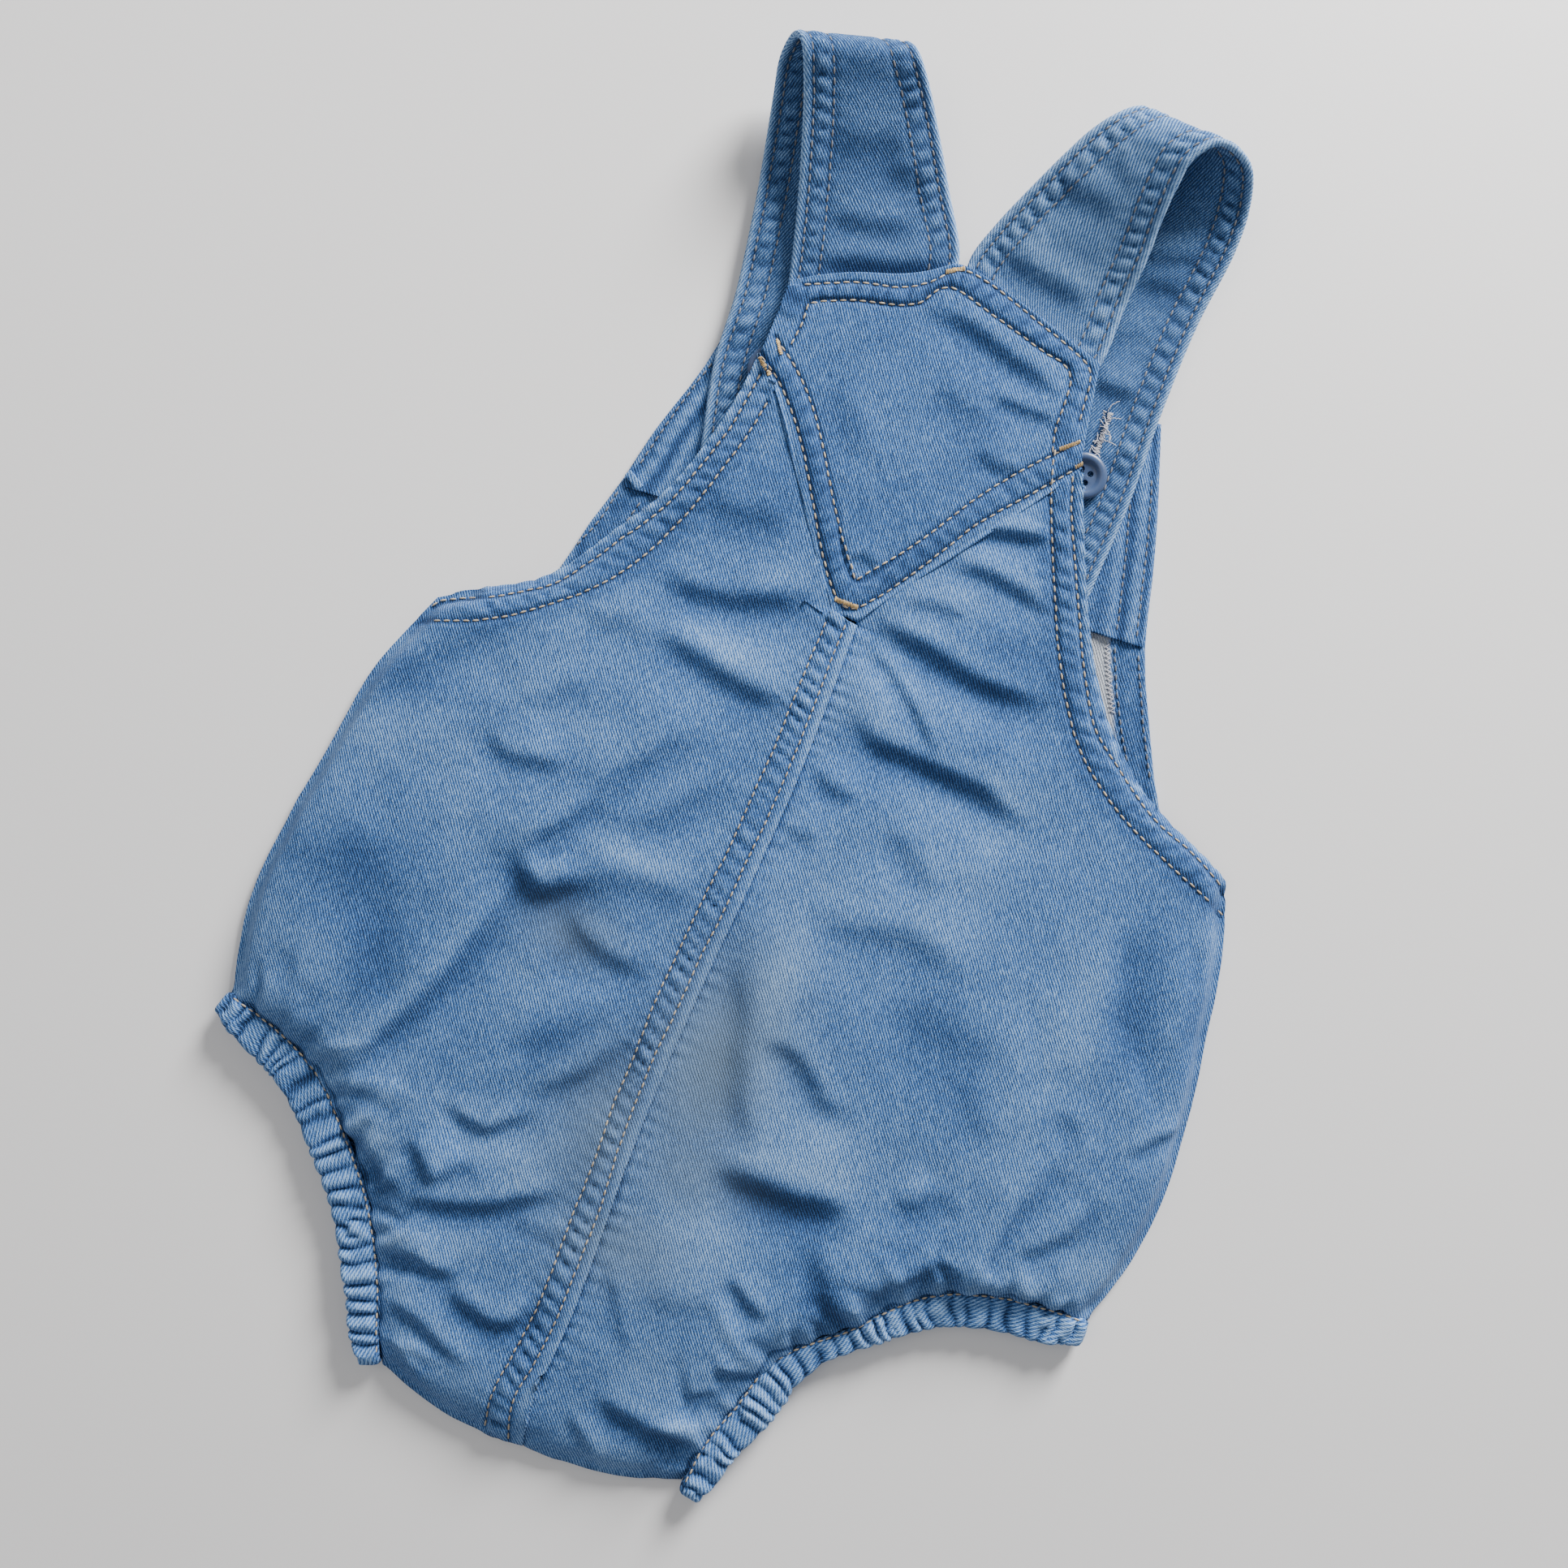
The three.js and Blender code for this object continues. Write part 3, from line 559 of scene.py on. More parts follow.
rightFolds = [
    ([(1048, 765), (1110, 785), (1150, 808), (1200, 840), (1250, 860), (1312, 876)], 1.4, 3.8),
    ([(1052, 784), (1095, 826), (1122, 868), (1142, 908), (1162, 946)], 0.6, 2.0),
    ([(1040, 862), (1075, 914), (1120, 935), (1165, 956), (1210, 978), (1240, 1004), (1288, 1020)], 1.3, 3.6),
    ([(1104, 742), (1150, 748), (1196, 766)], 0.6, 2.8),
    ([(1158, 698), (1210, 706), (1248, 726), (1304, 762)], 0.9, 2.8),
    ([(1190, 656), (1240, 658), (1300, 670)], 1.2, 2.4),
    ([(996, 944), (1020, 970), (1058, 992)], 0.7, 2.8),
    ([(958, 1018), (982, 1030), (1010, 1040)], 0.5, 3.0),
    ([(1084, 1014), (1125, 1062), (1152, 1114)], 0.55, 4.0),
    ([(984, 1128), (1050, 1148), (1110, 1158), (1152, 1180), (1204, 1226)], 0.7, 5.0),
    ([(1084, 1228), (1150, 1262), (1198, 1290), (1220, 1356)], 0.55, 8.0),
    ([(1178, 1312), (1200, 1372), (1210, 1420)], 0.45, 5.0),
    ([(926, 1280), (975, 1300), (1000, 1335), (1020, 1366), (1058, 1362)], 0.8, 3.2),
    ([(898, 1172), (916, 1238), (908, 1300), (912, 1370), (930, 1446)], 1.1, 4.8),
    ([(866, 1432), (930, 1462), (980, 1482), (1020, 1490), (1062, 1512)], 1.9, 5.4),
    ([(994, 1522), (1012, 1578), (1024, 1612), (1056, 1662)], 0.9, 4.0),
    ([(1094, 1480), (1130, 1486), (1164, 1462)], 0.9, 4.0),
    ([(1050, 1622), (1090, 1592), (1130, 1576), (1180, 1548)], 0.8, 3.0),
    ([(1200, 1586), (1225, 1545), (1246, 1508), (1268, 1468)], 0.8, 2.2),
    ([(1234, 1554), (1290, 1537), (1330, 1514), (1350, 1470)], 0.8, 3.0),
    ([(1254, 1500), (1280, 1462), (1302, 1430)], 0.6, 3.6),
    ([(1300, 1368), (1325, 1394), (1314, 1428)], 0.5, 3.0),
    ([(1386, 1434), (1420, 1408), (1470, 1394)], 0.8, 2.0),
    ([(1362, 1360), (1372, 1270), (1378, 1200), (1382, 1130)], 0.8, 4.8),
    ([(1422, 1400), (1402, 1322), (1380, 1254)], 0.5, 3.2),
    ([(1450, 1330), (1466, 1240), (1462, 1140)], 0.7, 3.4),
    ([(1262, 1370), (1268, 1300), (1264, 1230)], 0.4, 3.0),
    ([(740, 1544), (758, 1600), (762, 1640), (778, 1676)], 0.4, 2.4),
    ([(786, 1594), (840, 1610), (894, 1596)], 0.4, 4.4),
    ([(896, 1570), (918, 1604), (946, 1634)], 1.0, 2.4),
    ([(720, 1718), (775, 1750), (820, 1772), (874, 1790)], 1.4, 3.4),
    ([(800, 1752), (830, 1770), (862, 1782)], 0.7, 2.0),
    ([(872, 1686), (905, 1692), (938, 1704)], 0.9, 2.0),
    ([(1145, 1560), (1166, 1562), (1178, 1578), (1176, 1600)], 0.8, 2.2),
    ([(786, 1830), (822, 1822), (862, 1818)], 0.7, 2.0),
    ([(840, 1726), (870, 1716), (905, 1712)], 0.6, 2.0),
    ([(694, 1740), (714, 1770), (738, 1806)], 0.6, 2.0),
]
yokeFolds = [
    ([(1126, 380), (1185, 398), (1240, 440), (1290, 478), (1312, 512)], 1.0, 3.4),
    ([(1212, 484), (1260, 505), (1312, 524)], 0.7, 2.6),
    ([(1200, 552), (1225, 574), (1262, 584)], 0.6, 2.6),
    ([(1028, 470), (1050, 530), (1062, 585)], 0.4, 5.0),
    ([(1042, 694), (1062, 686), (1084, 702)], 0.5, 2.2),
    ([(1150, 470), (1180, 500), (1230, 520)], 0.4, 4.0),
]


def onCad(points):
    # places of the photograph on the cloth, in millimetres
    return [tuple(np.array(besideThrough(cadTree, x, y, 8)[0])[:2] / mm) for x, y in points]


def folded(ground, rows):
    # heights and masks of the folds: painted highlight beside each ridge and painted shade along each path; a fold is
    # darkest on its path, between its ridge and its trough
    height, wear, deep = np.zeros(len(ground)), np.zeros(len(ground)), np.zeros(len(ground))
    for points, rise, spread in rows:
        path = smoothPath(onCad(points), 3.0)
        off, along, side = besidePath(ground, path)
        share = along / np.linalg.norm(np.diff(path, axis=0), axis=1).sum()
        fade = rise * smoothStep(0, 0.3, share) * smoothStep(1, 0.7, share)
        across = off * side / spread
        broad = across / 2.3
        height += fade * (1.1 * across * bell(across, 1) + 1.7 * broad * bell(broad, 1))
        wear += 0.3 * fade * bell(across - 1.3, 1.2)
        deep += 0.3 * fade * bell(across + 0.3, 1.5)
    return height, wear, deep


# pale and dark areas, partly wash and partly painted light and painted shade: place in the photograph, width and height
# in mm, strength
paleWashAndLight = [(330, 1150, 14, 16, 0.6), (450, 900, 12, 9, 0.5), (720, 900, 14, 6, 0.5), (960, 1200, 8, 18, 1.0),
             (1000, 1400, 12, 12, 0.6), (620, 1420, 18, 8, 0.8), (560, 1530, 18, 6, 0.6), (850, 1530, 16, 14, 0.5), (310, 1240, 10, 9, 0.6),
             (385, 1330, 10, 9, 0.6), (440, 1415, 10, 9, 0.6), (475, 1520, 9, 9, 0.7), (500, 1660, 9, 9, 0.7),
             (1300, 1300, 8, 24, 0.5), (1350, 1570, 14, 6, 0.8), (800, 1690, 18, 8, 0.6), (770, 1050, 14, 5, 0.8),
             (560, 1700, 14, 8, 0.6), (1190, 740, 12, 6, 0.5), (1060, 1560, 6, 12, 0.4), (900, 800, 14, 5, 0.4),
             (1080, 880, 10, 8, 0.4), (640, 1230, 8, 12, 0.4), (1000, 1680, 16, 10, 1.0), (1120, 1620, 18, 8, 1.0),
             (1270, 1600, 18, 8, 1.0), (890, 1780, 14, 10, 1.0), (760, 1800, 16, 8, 0.7), (560, 1380, 10, 8, 0.5),
             (1180, 1600, 16, 8, 0.9)]
darkWashAndShade = [(430, 1050, 18, 10, 0.5), (455, 1190, 8, 16, 0.5), (1420, 1200, 12, 44, 0.6), (1150, 1250, 16, 16, 0.5),
             (900, 1300, 8, 30, 0.6), (930, 610, 20, 14, 0.6), (1250, 820, 22, 12, 0.6), (1030, 1600, 9, 12, 0.6),
             (500, 830, 22, 7, 0.5), (700, 1150, 14, 12, 0.6), (930, 730, 22, 6, 0.6), (1150, 930, 22, 10, 0.4),
             (680, 1270, 10, 8, 0.5), (960, 1480, 16, 8, 0.8), (1120, 1560, 14, 6, 0.5)]


def areas(ground, rows):
    value = np.zeros(len(ground))
    for x, y, wide, high, strength in rows:
        centre = onCad([(x, y)])[0]
        away = ((ground[:, 0] - centre[0]) / wide) ** 2 + ((ground[:, 1] - centre[1]) / high) ** 2
        value = np.maximum(value, strength * np.exp(-away))
    return value


def creased(places, rows):
    # heights of the creases; each fades towards its ends
    height = np.zeros(len(places))
    for points, rise, spread in rows:
        path = smoothPath(points, 4.0)
        off, along, _ = besidePath(places, path)
        length = np.linalg.norm(np.diff(path, axis=0), axis=1).sum()
        ends = np.sin(np.pi * np.clip(along / length, 0.08, 0.92)) ** 0.5
        height += rise * ends * bell(off, spread)
    return height


def gatherCreases(seam, inwards, look):
    # short creases that run from a gathered seam into the panel
    dice = random.Random(look["seed"])
    rows, along, raised = [], 4.0, 1
    lengths = np.concatenate([[0], np.cumsum(np.linalg.norm(np.diff(seam, axis=0), axis=1))])
    while along < lengths[-1] - 3:
        start = np.array([np.interp(along, lengths, seam[:, k]) for k in (0, 1)])
        ahead = np.array([np.interp(along + 1, lengths, seam[:, k]) for k in (0, 1)])
        across = np.array([-(ahead - start)[1], (ahead - start)[0]]) * inwards
        lean = (ahead - start) * dice.uniform(-0.5, 0.5)
        reach = dice.uniform(*look["reach"]) * (1.5 if dice.random() < 0.2 else 1)
        middle = start + (across + lean) * reach * 0.5
        end = start + (across + lean * 1.6) * reach
        rows.append(([start - across * 3, middle, end], raised * dice.uniform(*look["rise"]),
                     dice.uniform(*look["spread"])))
        raised = -raised
        along += dice.uniform(*look["pitch"])
    return rows


def flat(path):
    return path[:, :2]


def hemmed(places, edge, outer, inner, ripple, look):
    # heights and masks of a folded hem between its edge and its inner line of stitches: a worn pale edge, painted
    # highlight on the puckers, painted shade in the dips and along the stitches
    toEdge, along, _ = besidePath(places, edge)
    toOuter, _, _ = besidePath(places, outer)
    toInner, _, _ = besidePath(places, inner)
    width = look["width"]
    inBand = smoothStep(width + 1.2, width - 0.6, toEdge)
    lean = along + (toEdge - width / 2) * look["slant"]
    wave = ripple.at(lean)
    between = inBand * smoothStep(0.4, 2.6, toOuter) * smoothStep(0.2, 2.0, toInner)
    height = inBand * (0.3 + look["pucker"] * wave * between)
    height -= look["groove"] * (bell(toOuter, 0.75) + bell(toInner, 0.85))
    beyond = smoothStep(width, width + 1.5, toEdge) * bell(toEdge - width, 7.0)
    height += look["pucker"] * 0.45 * wave * beyond
    wear = 0.7 * bell(toEdge, 0.9) + 0.3 * between * np.clip(wave, 0, 1)
    deep = between * (0.35 + 0.5 * np.clip(-wave, 0, 1)) + 1.1 * (bell(toOuter, 0.65) + bell(toInner, 0.7))
    deep += 0.25 * bell(toInner - 2, 2.5) * (1 - inBand)
    return height, wear, deep


hemLook = {"width": 9.0, "slant": 0.5, "pucker": 0.34, "groove": 0.6}
seamLook = {"pitch": 5.0, "pucker": 0.55, "groove": 0.55}


def panelSkin(name, levels):
    mesh = rounded(name, solidOf(name, True), levels)
    return mesh, placesOf(mesh), normalsOf(mesh)


# painted highlight on the crests and painted shade in the troughs of a height field
def highlightAndShadeOf(height, spread):
    return np.clip(height / spread, 0, 1), np.clip(-height / spread, 0, 1)


def patches(places, rows):
    value = np.zeros(len(places))
    for x, y, wide, high, strength in rows:
        away = ((places[:, 0] - x) / wide) ** 2 + ((places[:, 1] - y) / high) ** 2
        value = np.maximum(value, strength * np.exp(-away))
    return value


# greyer patches of the back panels: x and y in mm, width, height, strength
greyPatches = [(11, -88, 20, 34, 1.0), (-14, -118, 16, 26, 0.75), (2, -150, 22, 14, 0.7), (-44, -66, 16, 10, 0.6),
            (16, -120, 20, 16, 0.7)]


def sideClosed(mesh, places, hemmedEdges, low):
    # the free edge of a panel comes down to the front, where the side seam joins them
    shape = bmesh.new()
    shape.from_mesh(mesh)
    rim = np.array([vertex.index for vertex in shape.verts if vertex.is_boundary])
    shape.free()
    reach = {**{edge: 4 for edge in hemmedEdges}, "seamFold": 16, "vEdge": 16}
    free = [besidePath(places[rim, :2], flat(onCloth[edge]))[0] > away for edge, away in reach.items()]
    side = KDTree(len(rim))
    for k in np.nonzero(np.all(free, axis=0))[0]:
        side.insert((*places[rim[k], :2], 0), k)
    side.balance()
    toSide = np.array([side.find((x, y, 0))[2] for x, y in places[:, :2]])
    lowered = places.copy()
    lowered[:, 2] -= smoothStep(6, 0.5, toSide) * np.maximum(places[:, 2] - low, 0)
    return lowered


def backPanel(name, seams, look):
    mesh, places, normals = panelSkin(name, 3)
    places = sideClosed(mesh, places, [seams[0][0], look["leg"]], 2.4)
    places = movedAside(places, flat(onCloth[look["leg"]]), -0.5 * look["inwards"], 4)
    ground = places[:, :2]
    folds, foldHighlight, foldShade = folded(ground, look["folds"])
    # the felled seam is stiff, so the folds fade beside it
    folds *= smoothStep(0, 9, besidePath(ground, flat(onCloth["seamFold"]))[0])
    gathers = creased(ground, gatherCreases(flat(onCloth[look["leg"]]), look["inwards"], look["gathers"]))
    small = unevenAt(places, 26, look["seed"]) * 0.35 + unevenAt(places, 9, look["seed"] + 5) * 0.12
    height = folds + gathers + small
    # painted highlight on gather crests and fold ridges, painted shade in gather troughs and fold flanks, plus the pale
    # and dark areas
    wear, deep = highlightAndShadeOf(gathers, 2.2)
    wear = wear * 0.5 + foldHighlight + 0.5 * areas(ground, paleWashAndLight)
    deep = deep * 0.45 + foldShade + 0.5 * areas(ground, darkWashAndShade)
    toLeg, alongLeg, _ = besidePath(ground, flat(onCloth[look["leg"]]))
    # the panel's own edge is drawn in along the gathered seam, with painted shade along it
    height -= 0.45 * bell(toLeg, 1.1)
    deep += 0.7 * bell(toLeg, 0.7)
    for edge, outer, inner, seed in seams:
        ripple = Ripple(400, 5.6, seed)
        more, wornAndLit, dark = hemmed(ground, flat(onCloth[edge]), flat(onCloth[outer]), flat(onCloth[inner]), ripple, hemLook)
        height, wear, deep = height + more, wear + wornAndLit, deep + dark
    return mesh, places, normals, height, wear, deep


def finishPanel(name, mesh, places, normals, height, wear, deep, thickness):
    movedTo(mesh, places + normals * height[:, None])
    painted(mesh, wear=wear, deep=deep, patch=patches(places, greyPatches))
    piece = objectFrom(name, mesh, denim)
    return thickened(piece, thickness)


leftGathers = {"seed": 11, "reach": (6, 17), "rise": (0.5, 1.1), "spread": (1.6, 2.8), "pitch": (3.4, 6.0)}
rightGathers = {"seed": 23, "reach": (6, 17), "rise": (0.5, 1.1), "spread": (1.6, 2.8), "pitch": (3.2, 5.6)}

mesh, places, normals, height, wear, deep = backPanel(
    "back_left", [("leftArmEdge", "leftArmOuter", "leftArmInner", 3)],
    {"folds": leftFolds, "leg": "leftLegSeam", "inwards": 1,
     "gathers": leftGathers, "seed": 1})
# the felled centre seam: two lines of stitches with puckers like rungs between them
lapped = movedAside(places, flat(onCloth["seamFold"]), 0.95, 5)
places[:, :2] = np.where((places[:, 1] < 58)[:, None], lapped[:, :2], places[:, :2])
ground = places[:, :2]
toRight, along, rightSide = besidePath(ground, flat(onCloth["seamRight"]))
toLeft, _, leftSide = besidePath(ground, flat(onCloth["seamLeft"]))
toFold, _, _ = besidePath(ground, flat(onCloth["seamFold"]))
inSeam = (places[:, 1] < 56) * (rightSide * leftSide < 0)
rungs = Ripple(300, seamLook["pitch"], 7, 0.34)
wave = rungs.at(along + toRight * 0.35)
share = toRight / (toRight + toLeft + 1e-6)
band = inSeam * np.sin(np.pi * np.clip(share, 0, 1)) ** 0.7
height += band * seamLook["pucker"] * wave + 0.15 * band
below = (places[:, 1] < 56)
height -= seamLook["groove"] * below * (bell(toRight, 0.7) + bell(toLeft, 0.8))
besideSeam = below * (1 - inSeam) * bell(toLeft, 5.0) * (toLeft < toRight)
height += besideSeam * 0.22 * wave
# worn pale folded edge, painted highlight on the rungs, painted shade between them and along both lines of stitches
wear += band * np.clip(wave, 0, 1) * 0.4 + 0.42 * below * bell(toFold, 1.1)
deep += band * (0.2 + 0.7 * np.clip(-wave, 0, 1)) + 0.6 * below * (bell(toRight, 0.7) + bell(toLeft, 0.7))
backLeft = finishPanel("backLeft", mesh, places, normals, height, wear, deep, 1.1)
dressed(backLeft, "denim", "back_left")

mesh, places, normals, height, wear, deep = backPanel(
    "back_right", [("rightArmEdge", "rightArmOuter", "rightArmInner", 4)],
    {"folds": rightFolds, "leg": "rightLegSeam", "inwards": -1,
     "gathers": rightGathers, "seed": 2})
toFold, along, _ = besidePath(places[:, :2], flat(onCloth["seamFold"]))
beside = (places[:, 1] < 54) * bell(toFold, 6.0)
height += beside * 0.3 * rungs.at(along) - 0.5 * (places[:, 1] < 54) * bell(toFold, 1.2)
# painted shade along the folded edge of the centre seam
deep += 0.6 * (places[:, 1] < 54) * bell(toFold, 1.3)
backRight = finishPanel("backRight", mesh, places, normals, height, wear, deep, 1.1)
dressed(backRight, "denim", "back_right")
print("back panels made,", len(backLeft.data.polygons), "and", len(backRight.data.polygons), "faces")

# Yoke, sewn on along the V and folded under along its upper edge
mesh, places, normals = panelSkin("back_yoke", 4)
places = movedAside(places, flat(onCloth["vEdge"]), -1.2, 5)
ground = places[:, :2]
height = unevenAt(places, 22, 3) * 0.4 + unevenAt(places, 8, 9) * 0.1
folds, wear, deep = folded(ground, yokeFolds)
height += folds
for outer, inner, seed, pucker in (("vOuter", "vInner", 21, 0.2), ("topOuter", "topInner", 22, 0.22)):
    toOuter, along, outerSide = besidePath(ground, flat(onCloth[outer]))
    toInner, _, innerSide = besidePath(ground, flat(onCloth[inner]))
    between = (outerSide * innerSide < 0) * np.sin(np.pi * np.clip(toOuter / (toOuter + toInner + 1e-6), 0, 1)) ** 0.8
    between *= smoothStep(12, 9, toOuter)
    wave = Ripple(500, 5.8, seed).at(along + toOuter * 0.3)
    height += between * (0.55 + pucker * wave) - 0.5 * (bell(toOuter, 0.7) + bell(toInner, 0.75))
    # painted highlight on the puckers, painted shade in their dips and along both lines of stitches
    wear += between * 0.3 * np.clip(wave, 0, 1)
    deep += between * (0.35 + 0.4 * np.clip(-wave, 0, 1)) + 1.0 * (bell(toOuter, 0.65) + bell(toInner, 0.65))
    height += 0.1 * wave * bell(toInner - 3, 3.0) * (1 - between)
toEdge, _, _ = besidePath(ground, flat(onCloth["vEdge"]))
height -= 0.3 * bell(toEdge, 0.7)
wear += 0.3 * bell(toEdge, 0.9)
# the whole yoke a little darker
deep += 0.14
backYoke = finishPanel("backYoke", mesh, places, normals, height, wear, deep, 1.5)
dressed(backYoke, "denim", "back_yoke")
print("yoke made,", len(backYoke.data.polygons), "faces")


# Straps: two layers of denim, topstitched twice along both edges
def slab(columns, rows):
    # closed flat slab with its upper side at z 0 and its lower side at z -1, both from -1 to 1
    shape = bmesh.new()
    bmesh.ops.create_grid(shape, x_segments=columns, y_segments=rows, size=1)
    bmesh.ops.solidify(shape, geom=shape.faces[:], thickness=1)
    bmesh.ops.recalc_face_normals(shape, faces=shape.faces[:])
    return shape


def slabPlaces(shape):
    co = np.array([vertex.co for vertex in shape.verts])
    low, high = co[:, 2].min(), co[:, 2].max()
    upper = co[:, 2] > (low + high) / 2
    return (co[:, 0] + 1) / 2, (co[:, 1] + 1) / 2, np.where(upper, 1.0, -1.0)


def reshaped(shape, positions, across, along, name):
    # moves the slab's points to their places and keeps the cloth's own measures as its UV map
    for vertex, place in zip(shape.verts, positions * mm):
        vertex.co = place
    layer = shape.loops.layers.uv.new("cloth")
    shape.verts.index_update()
    for face in shape.faces:
        for loop in face.loops:
            k = loop.vert.index
            loop[layer].uv = (across[k] * mm, along[k] * mm)
    return meshFrom(shape, name)


strapSections = {
    # left and right edge of each cross section, from under the yoke over the loop to the bib
    "strap_left": [
        (-53.4, 141, 7.8, -6.2, 163.5, 7.8), (-55.4, 150, 8.2, -8.2, 173, 8.2),
        (-59.8, 167, 11, -17.6, 188.2, 10), (-66.5, 189, 17, -27.7, 203.4, 15),
        (-70.1, 199.1, 21, -34.3, 212.5, 19), (-74.6, 208.6, 25, -40.6, 219.3, 22),
        (-78.7, 211.8, 20, -45.2, 222.8, 16), (-81.1, 207.5, 12, -45.6, 220.6, 9),
        (-79.4, 197, 7, -40.8, 207.9, 5.6), (-73.6, 167.7, 5, -35.7, 177.2, 4.2),
        (-69, 137.3, 4.1, -29.9, 144.2, 4.1), (-67.6, 115.3, 4.1, -28.5, 123.6, 4.1),
        (-61.8, 88.3, 4.1, -24.6, 95.2, 4.1)],
    "strap_right": [
        (-3.6, 163, 7.8, 43.4, 149, 7.8), (-4.4, 173, 8.2, 45.4, 157.5, 8.2),
        (-0.7, 184.5, 10.5, 45.6, 176.3, 10.5), (5.3, 197.7, 14, 46.2, 188.1, 15),
        (11.5, 210, 18, 45.7, 200, 20), (15.8, 217.6, 20, 46, 208.4, 24),
        (20.8, 223.8, 21, 47.1, 216.2, 28), (27.1, 229.2, 18, 53.5, 223.3, 29),
        (32.6, 229, 12, 64.6, 222.4, 23), (34.2, 215.1, 7.5, 69.7, 215, 15),
        (33.4, 200.8, 5.6, 71.1, 203, 10), (30.7, 173.3, 4.4, 68.9, 179.2, 6.6),
        (29.9, 146, 4.1, 68.4, 151, 4.8), (30.6, 113.7, 4.1, 69.3, 121.2, 4.1),
        (29.7, 80.8, 4.1, 67.7, 87, 4.1)],
}
strapLook = {"stitchLines": (3.1, 9.2), "half": 1.1, "edgeRound": 1.3, "pucker": 0.42, "groove": 0.35}
# folds of the runs that go up from the yoke, and of the runs that come down to the bib
strapFolds = {
    "strap_left": ([([(1010, 262), (1050, 274), (1085, 280), (1130, 274)], 1.0, 2.6),
                    ([(985, 330), (1050, 325), (1110, 331), (1180, 322)], 1.5, 2.6),
                    ([(1010, 160), (1060, 176), (1130, 172)], 0.8, 4.0), ([(1085, 205), (1110, 214), (1145, 214)], 0.6, 2.4)],
                   [([(905, 300), (930, 310), (960, 306)], 0.5, 3.0), ([(925, 200), (950, 212), (985, 208)], 0.5, 3.0),
                    ([(880, 400), (905, 412), (945, 410)], 0.5, 3.0)]),
    "strap_right": ([([(1225, 300), (1270, 335), (1300, 352), (1350, 386)], 1.1, 2.8),
                     ([(1300, 222), (1340, 240), (1385, 262)], 0.9, 2.8), ([(1366, 176), (1382, 205), (1398, 242)], 0.6, 2.4),
                     ([(1290, 280), (1320, 300), (1366, 322)], 0.4, 3.0)],
                    [([(1404, 300), (1440, 318), (1490, 320)], 0.9, 2.4), ([(1400, 336), (1435, 352), (1470, 358)], 0.9, 2.4),
                     ([(1345, 462), (1372, 482), (1405, 494)], 0.9, 2.2), ([(1345, 404), (1380, 412), (1425, 410)], 0.4, 2.4),
                     ([(1360, 560), (1385, 572), (1410, 566)], 0.5, 3.0)]),
}
# painted light and painted shade on the upper run
strapLightAndShade = {"strap_left": (0.0, 0.25), "strap_right": (0.2, 0.0)}
buttonholes = {"strap_right": ((1364, 508), (1345, 559))}


